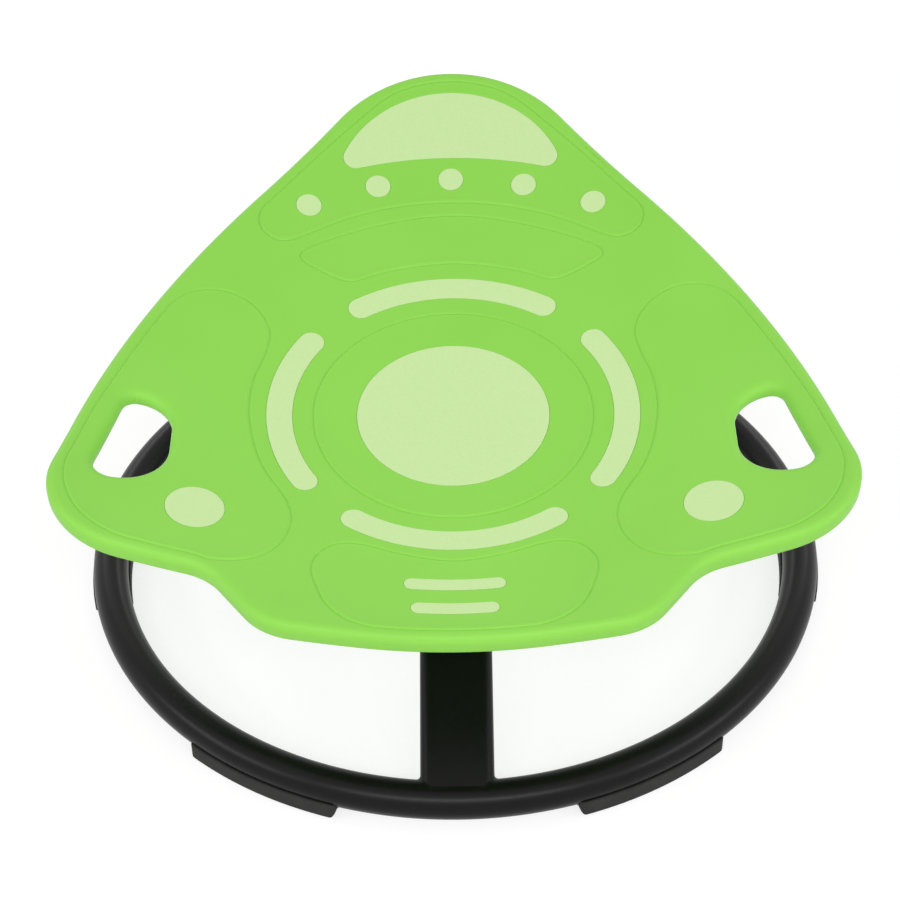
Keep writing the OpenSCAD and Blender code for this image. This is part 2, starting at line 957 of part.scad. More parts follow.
// Section of a foot, with its two lower corners rounded in a few flat steps
function foot_points() =
  let (side = foot_w / 2, middle = [side - foot_corner_r, foot_corner_r])
    concat(
      [for (k = [0:foot_steps]) on_circle(middle, foot_corner_r, 90 * k / foot_steps - 90)],
      [[side, foot_h], [-side, foot_h]],
      [for (k = [0:foot_steps]) on_circle([-middle[0], middle[1]], foot_corner_r, 180 + 90 * k / foot_steps)]
    );

// Corner of a foot's end that the rounding takes away, at the end that points to +Y.
// Its first and last steps run past the end and the sole.
module foot_end_cut() {
  past_share = 0.2;
  arc = [
    for (k = [0:foot_steps])
      on_circle([-foot_end_r, foot_end_r], foot_end_r, -90 * k / foot_steps)
  ];
  top = arc[0] + (arc[0] - arc[1]) * past_share;
  low = arc[foot_steps] + (arc[foot_steps] - arc[foot_steps - 1]) * past_share;
  rotate([90, 0, 90])
    linear_extrude(2 * foot_w, center = true)
      polygon(concat(
        [[overrun, top[1]], top],
        [for (k = [1:foot_steps - 1]) arc[k]],
        [low, [low[0], -overrun], [overrun, -overrun]]
      ));
}

module foot(i) {
  color(rubber_black)
    difference() {
      rotate(foot_angles[i] - foot_span / 2)
        rotate_extrude(angle = foot_span, $fn = 180)
          translate([ring_r, 0])
            difference() {
              polygon(foot_points());
              translate([0, ring_h])
                circle(tube_r + slip_gap);
            }
      for (flip = [0, 1])
        rotate(foot_angles[i])
          mirror([0, flip, 0])
            rotate(foot_span / 2)
              translate([ring_r, 0, 0])
                foot_end_cut();
      at_foot_screws() {
        translate([0, 0, -overrun])
          cylinder(h = ring_h, r = screw_r + bolt_play);
        translate([0, 0, -overrun])
          cylinder(h = screw_sunk + screw_head_h + overrun, r = screw_head_r + bolt_play);
      }
    }
}

module foot_screws() {
  // The screws end inside the hollow tube
  screw_top = ring_h - tube_r / 2;
  color(zinc)
    at_foot_screws()
      translate([0, 0, screw_sunk]) {
        cylinder(h = screw_head_h, r = screw_head_r);
        cylinder(h = screw_top - screw_sunk, r = screw_r);
      }
}

base_ring();
support_arch();
bearing_housing();
housing_cap();
outer_race(upper_bottom);  // upper_outer_race
outer_race(lower_bottom);  // lower_outer_race
foot(0);  // foot_right
foot(1);  // foot_rear_right
foot(2);  // foot_rear_left
foot(3);  // foot_left
foot(4);  // foot_front_left
foot(5);  // foot_front_right
foot_screws();
ball_cage(upper_bottom);  // upper_ball_cage
ball_set(upper_bottom);  // upper_balls
ball_cage(lower_bottom);  // lower_ball_cage
ball_set(lower_bottom);  // lower_balls
seat_shell();
centre_insert();
arc_insert(0);  // rear_arc_insert
arc_insert(90);  // left_arc_insert
arc_insert(180);  // front_arc_insert
arc_insert(270);  // right_arc_insert
spot_insert(-1);  // left_spot_insert
spot_insert(1);  // right_spot_insert
rear_cap_insert();
rear_dot_inserts();
long_bar_insert();
short_bar_insert();
hub_plate();
hub_bolts();
threaded_inserts();
spindle();
bearing_spacer();
inner_race(upper_bottom);  // upper_inner_race
inner_race(lower_bottom);  // lower_inner_race
spindle_washer();
spindle_nut();
dust_seal();
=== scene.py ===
# %% [markdown]
# # A spinning seat for toddlers
# A dished plastic seat turns on a bearing. The bearing stands in a steel arch, and the arch stands on
# a floor ring with six rubber feet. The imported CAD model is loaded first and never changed: every piece
# made here sits where the CAD says and moves with one of its bodies.

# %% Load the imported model
import math
from functools import partial

import bmesh
import bpy
import numpy as np
from mathutils import Matrix, Vector
from mathutils.geometry import delaunay_2d_cdt
from mathutils.kdtree import KDTree


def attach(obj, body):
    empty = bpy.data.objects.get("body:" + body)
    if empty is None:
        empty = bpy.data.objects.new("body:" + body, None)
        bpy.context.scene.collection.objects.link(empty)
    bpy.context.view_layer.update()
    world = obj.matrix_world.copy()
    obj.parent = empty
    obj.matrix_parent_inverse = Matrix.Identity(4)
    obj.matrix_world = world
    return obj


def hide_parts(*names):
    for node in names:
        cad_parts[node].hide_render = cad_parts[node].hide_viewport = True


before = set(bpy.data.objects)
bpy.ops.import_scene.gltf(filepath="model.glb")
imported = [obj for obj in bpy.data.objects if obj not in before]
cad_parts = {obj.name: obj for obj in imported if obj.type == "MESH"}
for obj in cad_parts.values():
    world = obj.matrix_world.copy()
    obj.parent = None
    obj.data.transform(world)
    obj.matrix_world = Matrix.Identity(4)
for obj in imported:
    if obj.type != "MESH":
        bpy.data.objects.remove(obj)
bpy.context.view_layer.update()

# %% [markdown]
# ## Seat axes
# The seat is a shallow dish, part of a large sphere, that leans forward. It is drawn flat: u to the right,
# v to the rear and w up the spin axis, in millimetres. One function lays the drawing on the dish, at a depth
# below its surface, and another leans it into place, in metres.

# %% Seat axes
MM = 0.001
TILT = math.radians(8.0)
PIVOT_Y = -10.0
SEAT_H = 180.0
DISH_R = 910.0


def on_dish(plan, depth):
    """Flat points laid on the dish, a depth below its surface."""
    plan = np.asarray(plan, float)
    height = SEAT_H + DISH_R - np.sqrt((DISH_R + depth) ** 2 - (plan ** 2).sum(1))
    return np.column_stack([plan, height])


def leaned(uvw):
    """Seat axes in millimetres to the frame in metres."""
    u, v, w = np.asarray(uvw, float).T
    y = PIVOT_Y + v * math.cos(TILT) - w * math.sin(TILT)
    z = v * math.sin(TILT) + w * math.cos(TILT)
    return np.column_stack([u, y, z]) * MM


SEAT_PLACE = Matrix.Translation((0, PIVOT_Y * MM, 0)) @ Matrix.Rotation(TILT, 4, "X")
print("middle of the dish:", leaned([[0, 0, SEAT_H]])[0].round(4))

# %% [markdown]
# ## Finishes
# Each finish is a node material on Object coordinates, so it stays put on its piece. A slow noise shifts
# the colour a little, as pigment does, a second one shifts the gloss, and a fine one gives the grain or the
# orange peel through a Bump node. A short helper adds nodes by name, for these trees and the later ones.

# %% Finishes
RAMP_ENDS = (0.3, 0.7)
GLOSS_FINER = 5
BUMP_STRENGTH = 0.6


def fed(tree, node, sockets):
    """Sets or links a node's inputs by name or number, and returns its first output."""
    for key, value in sockets.items():
        if isinstance(value, bpy.types.NodeSocket):
            tree.links.new(value, node.inputs[key])
        else:
            node.inputs[key].default_value = value
    return node.outputs[0] if len(node.outputs) else None


def step(tree, kind, sockets, **settings):
    """Adds a node with its settings and inputs, and returns its first output."""
    node = tree.nodes.new(kind)
    for key, value in settings.items():
        setattr(node, key, value)
    return fed(tree, node, sockets)


def sums(tree, operation, *values):
    return step(tree, "ShaderNodeMath", dict(enumerate(values)), operation=operation)


def finish(name, dark, light, patch, gloss, grain, relief, stretch=(1, 1, 1), specular=0.5, metallic=0.0):
    """A node material: colour between two shades, gloss range, and grain of a fineness and relief in mm."""
    material = bpy.data.materials.new(name)
    material.use_nodes = True
    tree = material.node_tree
    add = partial(step, tree)
    place = tree.nodes.new("ShaderNodeTexCoord").outputs["Object"]
    place = add("ShaderNodeMapping", {"Vector": place, "Scale": stretch})

    def noise(scale, detail):
        return add("ShaderNodeTexNoise", {"Vector": place, "Scale": scale, "Detail": detail})

    shades = add("ShaderNodeValToRGB", {"Fac": noise(patch, 3.0)})
    for stop, colour, at in zip(shades.node.color_ramp.elements, (dark, light), RAMP_ENDS):
        stop.position, stop.color = at, (*colour, 1)
    shine = add("ShaderNodeMapRange", {"Value": noise(patch * GLOSS_FINER, 2.0),
                                       "To Min": gloss[0], "To Max": gloss[1]})
    bump = add("ShaderNodeBump", {"Height": noise(grain, 1.0), "Distance": relief * MM, "Strength": BUMP_STRENGTH})
    fed(tree, tree.nodes["Principled BSDF"], {"Base Color": shades, "Roughness": shine, "Normal": bump,
                                              "Specular IOR Level": specular, "Metallic": metallic})
    return material


lime = finish("lime_moulding", (0.262, 0.648, 0.080), (0.276, 0.668, 0.088), 9, (0.40, 0.48), 1400, 0.02,
              specular=0.2)
glow = finish("glow_inlay", (0.56, 0.775, 0.345), (0.60, 0.80, 0.39), 700, (0.42, 0.52), 2200, 0.02, specular=0.2)
coat = finish("black_powder_coat", (0.0025,) * 3, (0.0035,) * 3, 30, (0.30, 0.36), 650, 0.03, specular=0.17)
rubber = finish("foot_rubber", (0.020,) * 3, (0.029, 0.029, 0.028), 60, (0.62, 0.78), 1500, 0.06, specular=0.22)
cap_plastic = finish("black_cap_plastic", (0.010,) * 3, (0.014,) * 3, 40, (0.45, 0.58), 1200, 0.05, specular=0.35)
zinc = finish("zinc_plate", (0.50, 0.51, 0.52), (0.62, 0.62, 0.60), 90, (0.24, 0.38), 1800, 0.02, metallic=1.0)
steel = finish("turned_steel", (0.42, 0.42, 0.43), (0.55, 0.55, 0.56), 40, (0.20, 0.34), 400, 0.02, (1, 1, 9),
               metallic=1.0)
race_steel = finish("bearing_steel", (0.55, 0.56, 0.57), (0.64, 0.65, 0.66), 60, (0.08, 0.16), 900, 0.005,
                    metallic=1.0)
brass = finish("brass_insert", (0.50, 0.33, 0.11), (0.62, 0.42, 0.16), 120, (0.22, 0.34), 1200, 0.02, metallic=1.0)
nylon = finish("cage_nylon", (0.66, 0.62, 0.52), (0.76, 0.73, 0.64), 80, (0.40, 0.52), 1500, 0.02)
print("powder coat with", len(coat.node_tree.nodes), "nodes")

# %% [markdown]
# ## From points to a piece
# Most pieces are meshes written as points and faces. The normals are recalculated on the closed shell, the
# faces are shaded smooth, and edges steeper than a set angle stay sharp. The object stays at the origin.

# %% Meshes and pieces
SHARP = math.radians(40)
MERGE, MERGE_TURNED, MERGE_TUBE = 1e-6, 1e-5, 2e-5


def tidied(mesh, material, merge=0.0):
    """Merged, outward, smooth mesh with sharp edges where it turns steeply."""
    shape = bmesh.new()
    shape.from_mesh(mesh)
    if merge:
        bmesh.ops.remove_doubles(shape, verts=shape.verts, dist=merge)
    bmesh.ops.recalc_face_normals(shape, faces=shape.faces)
    shape.to_mesh(mesh)
    shape.free()
    mesh.materials.clear()
    mesh.materials.append(material)
    mesh.shade_smooth()
    mesh.set_sharp_from_angle(angle=SHARP)
    return mesh


def mesh_of(name, points, faces, material, merge=0.0):
    mesh = bpy.data.meshes.new(name)
    mesh.from_pydata([tuple(p) for p in points], [], [tuple(int(i) for i in f) for f in faces])
    return tidied(mesh, material, merge)


def ring_faces(count, n):
    """Quads between rings of n points each, closed by a face at both ends."""
    quads = [(k * n + i, k * n + j, (k + 1) * n + j, (k + 1) * n + i)
             for k in range(count - 1) for i in range(n) for j in [(i + 1) % n]]
    return quads + [tuple(range(n))[::-1], tuple(range((count - 1) * n, count * n))]


def linked(name, data):
    """A new object in the scene."""
    made = bpy.data.objects.new(name, data)
    bpy.context.scene.collection.objects.link(made)
    return made


def after_modifiers(holder, *helpers):
    """The mesh of an object after its modifiers. It and its helpers are then removed."""
    mesh = bpy.data.meshes.new_from_object(holder.evaluated_get(bpy.context.evaluated_depsgraph_get()))
    for used in (holder, *helpers):
        bpy.data.objects.remove(used)
    return mesh


def placed(name, mesh, body, slot, *nodes):
    """The finished mesh as a piece that rides on a body and stands for CAD nodes."""
    piece = linked(name, mesh)
    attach(piece, body)
    if nodes:
        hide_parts(*nodes)
    print(f"{name}: {len(mesh.polygons)} faces on {body}")


# %% [markdown]
# ## Outlines
# A moulded outline is a chain of arcs: the seat's edge and the hand holes are corners with a radius, and
# the inlays are discs, bent bands and a cap. Each arc gives points and outward normals, so an outline can be
# moved in or out exactly, as the rim and the pockets need.

# %% Outlines
TURN_STEP = math.radians(5)
SAME_POINT = 1e-3
EDGE_STEP, HOLE_STEP = 6, 4


def arc_chain(arcs, step):
    """Points and outward normals of a closed chain of arcs: centre, radius, first and last degrees."""
    parts, points, normals = [], [], []
    for centre, radius, first, last in arcs:
        sweep = math.radians(last - first)
        count = max(2, math.ceil(max(abs(sweep) / TURN_STEP, abs(sweep) * radius / step)))
        angle = math.radians(first) + sweep * np.arange(count + 1) / count
        spoke = np.column_stack([np.cos(angle), np.sin(angle)])
        parts.append((np.asarray(centre) + radius * spoke, spoke * np.sign(sweep)))
    for (arc, normal), (ahead, ahead_normal) in zip(parts, parts[1:] + parts[:1]):
        gap = np.linalg.norm(ahead[0] - arc[-1])
        share = np.arange(1, math.ceil(gap / step))[:, None] * step / max(gap, 1e-9)
        points += [arc, arc[-1] + (ahead[0] - arc[-1]) * share]
        normals += [normal, np.repeat(ahead_normal[:1], len(share), 0)]
    points, normals = np.vstack(points), np.vstack(normals)
    keep = np.linalg.norm(points - np.roll(points, 1, 0), axis=1) > SAME_POINT
    return points[keep], normals[keep]


def corner_arcs(corners):
    """Arcs that round the corners (u, v, radius) of a counter-clockwise outline."""
    c = np.array(corners, float)
    ahead = np.roll(c[:, :2], -1, 0) - c[:, :2]
    length = np.linalg.norm(ahead, axis=1)
    ahead /= length[:, None]
    into = np.roll(ahead, 1, 0)
    hand = np.sign(into[:, 0] * ahead[:, 1] - into[:, 1] * ahead[:, 0])
    bend = np.arccos(np.clip((into * ahead).sum(1), -1, 1))
    reach = c[:, 2] * np.tan(bend / 2)
    room = length / (reach + np.roll(reach, -1))
    reach *= np.minimum(1, np.minimum(room, np.roll(room, 1)))
    radius = reach / np.tan(bend / 2)
    side = np.column_stack([-into[:, 1], into[:, 0]]) * hand[:, None]
    centre = c[:, :2] - into * reach[:, None] + side * radius[:, None]
    first = np.degrees(np.arctan2(-side[:, 1], -side[:, 0]))
    return list(zip(centre, radius, first, first + np.degrees(bend) * hand))


def rounded(corners, step):
    return arc_chain(corner_arcs(corners), step)


RIGHT_CORNERS = [(133.6, -226.8, 46), (174.6, -172.1, 39), (306.2, -150.8, 65), (248.8, 103.3, 650)]
SEAT_CORNERS = ([(0, -241.6, 600)] + RIGHT_CORNERS + [(0, 416.0, 120)]
                + [(-u, v, r) for u, v, r in reversed(RIGHT_CORNERS)])
HOLE_CORNERS = [(211, -3, 28), (211, -89, 38), (267.5, -89, 15), (247.5, -3, 12)]
edge, edge_out = rounded(SEAT_CORNERS, EDGE_STEP)
right_hole = rounded(HOLE_CORNERS, HOLE_STEP)
left_hole = tuple(np.flip(a * (-1, 1), 0) for a in right_hole)
print("seat outline:", len(edge), "points,", np.ptp(edge, 0).round(1), "mm; hand hole:", len(right_hole[0]), "points")

# %% [markdown]
# The inlays repeat on a few radii about the spin axis. A bent band has two long arcs and two round ends.

# %% Inlay outlines
FINE = 2.5


def band(radius, half_angle, width):
    """Band of even width bent round the origin, with round ends, its middle to the rear."""
    first, last = 90 - half_angle, 90 + half_angle
    ends = [radius * np.array([math.cos(math.radians(a)), math.sin(math.radians(a))]) for a in (first, last)]
    return arc_chain([((0, 0), radius + width / 2, first, last), (ends[1], width / 2, last, last + 180),
                      ((0, 0), radius - width / 2, last, first), (ends[0], width / 2, first - 180, first)], FINE)


def disc(u, v, radius):
    return arc_chain([((u, v), radius, 0, 360)], FINE)


def turned(loop, degrees):
    c, s = math.cos(math.radians(degrees)), math.sin(math.radians(degrees))
    return tuple(a @ np.array([[c, s], [-s, c]]) for a in loop)


def bar(v, length, bend=320.0, width=11.6):
    points, normals = turned(band(bend, math.degrees(math.asin((length - width) / 2 / bend)), width), 180)
    return points + (0, bend - v), normals


def rear_cap(outer=96.0, middle=225.8, floor=261.0, corner=10.0):
    """Cap between an outer arc and an arc about the spin axis, with two round corners."""
    v = ((floor + corner) ** 2 - (outer - corner) ** 2 + middle ** 2) / (2 * middle)
    u = math.sqrt((floor + corner) ** 2 - v ** 2)
    up, low = (math.degrees(math.atan2(y, u)) for y in (v - middle, v))
    return arc_chain([((0, 0), floor, 180 - low, low), ((u, v), corner, low - 180, up),
                      ((0, middle), outer, up, 180 - up), ((-u, v), corner, 180 - up, 360 - low)], FINE)


DISC_R, DOT_V, DOT_R, DOT_PITCH = 73.6, 240.5, 10.4, 14.5
SPOT_U, SPOT_V, SPOT_R = 187, -112, 21.3
dot = disc(0, DOT_V, DOT_R)
arc = band(radius=132.4, half_angle=33.4, width=19.8)
inlays = {
    "centre_insert": disc(0, 0, DISC_R),
    "rear_arc_insert": arc, "left_arc_insert": turned(arc, 90),
    "front_arc_insert": turned(arc, 180), "right_arc_insert": turned(arc, 270),
    "left_spot_insert": disc(-SPOT_U, SPOT_V, SPOT_R), "right_spot_insert": disc(SPOT_U, SPOT_V, SPOT_R),
    "rear_cap_insert": rear_cap(),
    "long_bar_insert": bar(v=180.0, length=72.0), "short_bar_insert": bar(v=205.5, length=62.0),
}
pockets = list(inlays.values()) + [turned(dot, k * DOT_PITCH) for k in range(-2, 3)]
print(len(pockets), "pockets for inlays")

# %% [markdown]
# ## Panel lines
# Fine grooves divide the seat into panels. They are smooth closed curves through points of the right half,
# mirrored. Beside the rim a line keeps one distance from the edge, so a curve is pushed in wherever it
# comes too close.

# %% Panel lines
REAR_BAND = [
    (0, 333), (46, 322), (86, 286), (118, 250), (137, 226), (148, 212), (154, 204), (156.8, 193), (154.5, 184),
    (149, 178), (140, 174), (131, 175), (118, 182), (90, 198), (67, 207.5), (44, 214), (21, 217.5), (0, 218.5)]
CRESCENT = [
    (0, 205.5), (22, 204), (44, 199.5), (67, 192.5), (89, 183.5), (106, 175), (116, 169), (121, 164),
    (122.5, 159.5), (120, 155.5), (114, 151.5), (105, 146.5), (96, 142), (88, 139), (80, 138.2), (72, 141),
    (61, 146), (48, 150.5), (32, 154.5), (15, 157.2), (0, 158.2)]
SIDE_PANEL = [
    (143, 75), (145.5, 87), (151, 98), (159, 107), (168, 113), (178, 116.2), (188, 116.5), (199, 114),
    (210, 107.5), (219, 98), (227, 83), (242, 48.5), (257, 8), (270, -33), (278.5, -68), (281, -90),
    (279, -106), (273, -122), (263, -136), (249, -146.5), (232, -153.5), (212, -158.8), (187, -162.8),
    (168, -164.5), (152, -162.3), (140, -157), (129, -147.5), (121.5, -134), (118, -117), (120, -102),
    (127, -86), (137, -70), (146, -50), (153, -22), (155.6, 4), (153, 32), (147.5, 51)]
FRONT_PANEL = [
    (0, -153.5), (12, -152.3), (26, -149.4), (41, -145.3), (56, -139.9), (67, -136.7), (77.5, -136),
    (88, -139.3), (96, -147), (101, -158), (101.3, -169), (98, -182), (93, -196), (87, -206.5), (78, -215.5),
    (66, -222.5), (52, -226.5), (31, -228.8), (0, -230.2)]
LINE_FROM_EDGE, LINE_STEP, HUB_LINE_R, HUB_LINE_STEP = 9.6, 2, 107, 3
BETWEEN, SMOOTHINGS = 24, 12


def both_halves(right):
    return right + [(-u, v) for u, v in reversed(right[1:-1])]


def flowing(control, step):
    """Closed smooth curve through the control points, at even steps, with its normals."""
    p = np.array(control, float)
    span = np.linalg.norm(np.roll(p, -1, 0) - p, axis=1)[:, None]
    tangent = (np.roll(p, -1, 0) - np.roll(p, 1, 0)) / (span + np.roll(span, 1, 0))
    t = np.linspace(0, 1, BETWEEN, endpoint=False)[:, None]
    dense = np.vstack([
        (2 * t ** 3 - 3 * t ** 2 + 1) * p[i] + (t ** 3 - 2 * t ** 2 + t) * span[i] * tangent[i]
        + (3 * t ** 2 - 2 * t ** 3) * p[j] + (t ** 3 - t ** 2) * span[i] * tangent[j]
        for i in range(len(p)) for j in [(i + 1) % len(p)]
    ])
    gaps = dense[:, None] - edge[None]
    nearest = np.linalg.norm(gaps, axis=2).argmin(1)
    distance = -((dense - edge[nearest]) * edge_out[nearest]).sum(1)
    dense -= edge_out[nearest] * np.clip(LINE_FROM_EDGE - distance, 0, None)[:, None]
    for _ in range(SMOOTHINGS):
        dense = (np.roll(dense, 1, 0) + 2 * dense + np.roll(dense, -1, 0)) / 4
    length = np.concatenate([[0], np.cumsum(np.linalg.norm(np.roll(dense, -1, 0) - dense, axis=1))])
    along = np.linspace(0, length[-1], round(length[-1] / step), endpoint=False)
    closed = np.vstack([dense, dense[:1]])
    points = np.column_stack([np.interp(along, length, closed[:, k]) for k in (0, 1)])
    ahead = np.roll(points, -1, 0) - np.roll(points, 1, 0)
    ahead /= np.linalg.norm(ahead, axis=1)[:, None]
    area = (points[:, 0] * ahead[:, 1] - points[:, 1] * ahead[:, 0]).sum()
    return points, np.column_stack([ahead[:, 1], -ahead[:, 0]]) * np.sign(area)


panel_lines = [flowing(both_halves(line), LINE_STEP) for line in (REAR_BAND, CRESCENT, FRONT_PANEL)]
panel_lines += [flowing([(side * u, v) for u, v in SIDE_PANEL], LINE_STEP) for side in (1, -1)]
panel_lines.append(arc_chain([((0, 0), HUB_LINE_R, 0, 360)], HUB_LINE_STEP))
print("panel lines of", [len(points) for points, _ in panel_lines], "points")

# %% [markdown]
# ## The seat shell
# The shell is one closed skin: the top with its panel lines and inlay pockets, a rolled rim, two rolled
# hand holes and the underside. Sculpting would blur the fine lines, and Booleans leave ragged faces. So the
# top is drawn as nested flat loops with a depth each, filled with triangles and laid on the dish. The rim
# and the lips are sections carried round their outlines.

# %% Filling loops with triangles
TOP_GRID, UNDER_GRID = (12, 5), (14, 6)


def inside(points, loop):
    """Which points lie inside a closed loop."""
    a, b = loop, np.roll(loop, -1, 0)
    x, y = points[:, :1], points[:, 1:]
    crosses = (a[:, 1] > y) != (b[:, 1] > y)
    at = a[:, 0] + (y - a[:, 1]) * (b[:, 0] - a[:, 0]) / np.where(b[:, 1] == a[:, 1], 1, b[:, 1] - a[:, 1])
    return (crosses & (x < at)).sum(1) % 2 == 1


def grid_inside(loop, keep_clear, pitch, clearance):
    """Grid points inside a loop that stay clear of all given points."""
    low, high = loop.min(0), loop.max(0)
    u, v = np.meshgrid(np.arange(low[0], high[0], pitch), np.arange(low[1], high[1], pitch))
    grid = np.column_stack([u.ravel() + pitch / 4 * (np.round(v.ravel() / pitch) % 2), v.ravel()])
    grid = grid[inside(grid, loop)]
    tree = KDTree(len(keep_clear))
    for i, p in enumerate(keep_clear):
        tree.insert((*p, 0), i)
    tree.balance()
    return grid[[tree.find((*p, 0))[2] > clearance for p in grid]]


def filled(loops, loose, outer, holes):
    """Triangles over loops and loose points, inside the outer loop and outside the holes."""
    points = np.vstack(loops + [loose])
    starts = np.cumsum([0] + [len(loop) for loop in loops])
    edges = [(s + k, s + (k + 1) % len(loop)) for s, loop in zip(starts, loops) for k in range(len(loop))]
    made, _, faces, source, _, _ = delaunay_2d_cdt([Vector(p) for p in points], edges, [], 0, 1e-5)
    assert len(made) == len(points), "two loops cross"
    order = np.array([s[0] for s in source])
    faces = order[np.array(faces)]
    middle = points[faces].mean(1)
    keep = inside(middle, outer)
    for hole in holes:
        keep &= ~inside(middle, hole)
    return points, faces[keep], starts


print("grid points in the seat outline:", len(grid_inside(edge, edge, *TOP_GRID)))

# %% [markdown]
# A loop's depth makes the form. Each panel line is a groove with a low bead along its inner side. Its
# outermost loops lie at depth zero, so that smooth shading doesn't spread over the panel. The pockets have
# a softened mouth, and the rim's roll starts at the last loop of the top.

# %% The seat shell
SKIN = 4.0
ROLL, ROLL_DROP, RIM_DEPTH = 7.0, 8.0, 16.0
LIP_ROLL, LIP_DROP, LIP_DEPTH = 8.0, 7.0, 12.0
UNDER, ROLL_STEP = 8.5, 9
SKIRT_FOOT = [(0, 1.6), (0.25, 0.7), (0.9, 0.1), (1.75, 0), (2.6, 0.1), (3.25, 0.7), (3.5, 1.6)]
SKIRT_BACK = [(3.8, 8.6), (4.2, 6.9), (5.2, 5.4), (6.6, 4.4)]
GROOVE = [(2.3, 0.0), (1.3, 0.0), (0.8, 0.25), (0.3, 0.75), (0.0, 0.85), (-0.35, 0.7), (-0.95, 0.05), (-1.5, -0.2),
          (-2.2, -0.25), (-3.0, -0.15), (-4.0, 0.0)]
POCKET_FLOOR = 1.65
POCKET = [(1.5, 0.0), (0.55, 0.0), (0.22, 0.12), (0.1, 0.4), (-0.02, POCKET_FLOOR)]


def rolled_section(run, drop, depth):
    """Inset and depth over a rolled edge, down its skirt, round the foot and up to the underside."""
    turn = np.radians(np.arange(ROLL_STEP, 91, ROLL_STEP))
    roll = [(run * (1 - math.sin(a)), drop * (1 - math.cos(a))) for a in turn]
    return roll + [(inset, depth - rise) for inset, rise in SKIRT_FOOT] + SKIRT_BACK


class Shell:
    """Points and faces of one mesh, added part by part."""

    def __init__(self):
        self.points, self.faces, self.count = [], [], 0

    def add(self, points, faces=()):
        first = self.count
        self.points.append(points)
        self.count += len(points)
        self.faces += [tuple(int(i) + first for i in f) for f in faces]
        return first + np.arange(len(points))

    def carry(self, rings):
        """Joins closed rings of point numbers by quads."""
        for near, far in zip(rings[:-1], rings[1:]):
            ahead = np.roll(np.arange(len(near)), -1)
            self.faces += list(zip(near, near[ahead], far[ahead], far))


def moved(loop, by):
    return loop[0] + loop[1] * by


def seat_top(rim, lips):
    loops, depths = [rim] + lips, [0.0] * 3
    for lines, section in ((panel_lines, GROOVE), (pockets, POCKET)):
        for line in lines:
            loops += [moved(line, offset) for offset, _ in section]
            depths += [depth for _, depth in section]
    loose = grid_inside(rim, np.vstack(loops), *TOP_GRID)
    low = np.zeros(len(loose), bool)
    for pocket in pockets:
        low |= inside(loose, pocket[0])
    points, faces, starts = filled(loops, loose, rim, lips)
    depth = np.concatenate([np.full(len(loop), d) for loop, d in zip(loops, depths)] + [low * POCKET_FLOOR])
    return on_dish(points, depth), faces, starts


def build_seat():
    shell = Shell()
    borders = [((edge, -edge_out), ROLL, rolled_section(ROLL, ROLL_DROP, RIM_DEPTH))]
    lip = rolled_section(LIP_ROLL, LIP_DROP, LIP_DEPTH)
    borders += [(hole, LIP_ROLL, lip) for hole in (right_hole, left_hole)]
    tops = [moved(loop, run) for loop, run, _ in borders]
    unders = [moved(loop, UNDER) for loop, _, _ in borders]
    points, faces, starts = seat_top(tops[0], tops[1:])
    top = shell.add(points, faces)
    loose = grid_inside(unders[0], np.vstack(unders), *UNDER_GRID)
    points, faces, under_starts = filled(unders, loose, unders[0], unders[1:])
    under = shell.add(on_dish(points, SKIN), faces)
    for k, (loop, _, section) in enumerate(borders):
        count = len(loop[0])
        rings = [top[starts[k]:starts[k] + count]]
        rings += [shell.add(on_dish(moved(loop, inset), depth)) for inset, depth in section]
        shell.carry(rings + [under[under_starts[k]:under_starts[k] + count]])
    return shell


seat = build_seat()
seat_mesh = mesh_of("seat_moulding", leaned(np.vstack(seat.points)), seat.faces, lime)
print("seat shell:", len(seat_mesh.vertices), "points,", len(seat_mesh.polygons), "faces")

# %% [markdown]
# ## Node trees for what repeats
# Bolts, screws, balls, ribs and tubes follow a rule, so Geometry Nodes make them. Each tree has named inputs
# for its sizes and ends in Realize Instances and Set Material. Its result is turned into a plain mesh.

# %% Helpers for node trees


def new_tree(name, sizes):
    """A node tree with sizes and a material as inputs, those inputs, and two ways to add nodes."""
    tree = bpy.data.node_groups.new(name, "GeometryNodeTree")
    for way in ("OUTPUT", "INPUT"):
        tree.interface.new_socket("Geometry", in_out=way, socket_type="NodeSocketGeometry")
    for key, value in sizes.items():
        kind = "NodeSocketInt" if isinstance(value, int) else "NodeSocketFloat"
        tree.interface.new_socket(key, in_out="INPUT", socket_type=kind).default_value = value
    tree.interface.new_socket("Material", in_out="INPUT", socket_type="NodeSocketMaterial")
    return tree, tree.nodes.new("NodeGroupInput").outputs, partial(step, tree), partial(sums, tree)


def ended(tree, geometry, given):
    """Closes a tree: real geometry with its material."""
    geometry = step(tree, "GeometryNodeRealizeInstances", {"Geometry": geometry})
    geometry = step(tree, "GeometryNodeSetMaterial", {"Geometry": geometry, "Material": given["Material"]})
    step(tree, "NodeGroupOutput", {0: geometry})


def grown(name, start, tree, material, sizes, merge=MERGE):
    """The mesh that a tree makes from a start mesh."""
    holder = linked(name, start)
    nodes = holder.modifiers.new(tree.name, "NODES")
    nodes.node_group = tree
    sizes = {"Material": material, **sizes}
    for item in tree.interface.items_tree:
        if item.in_out == "INPUT" and item.name in sizes:
            nodes[item.identifier] = sizes[item.name]
    return tidied(after_modifiers(holder), material, merge)


def path_mesh(name, *loops, closed=True):
    """A mesh of edges only, for a tree to follow."""
    points, edges = [], []
    for loop in loops:
        count = len(loop)
        edges += [(len(points) + k, len(points) + (k + 1) % count) for k in range(count if closed else count - 1)]
        points += [tuple(p) for p in loop]
    mesh = bpy.data.meshes.new(name)
    mesh.from_pydata(points, edges, [])
    return mesh


# %% [markdown]
# The copies tree turns copies of a small mesh about the upright axis. It serves bolts, balls, screws and dots.

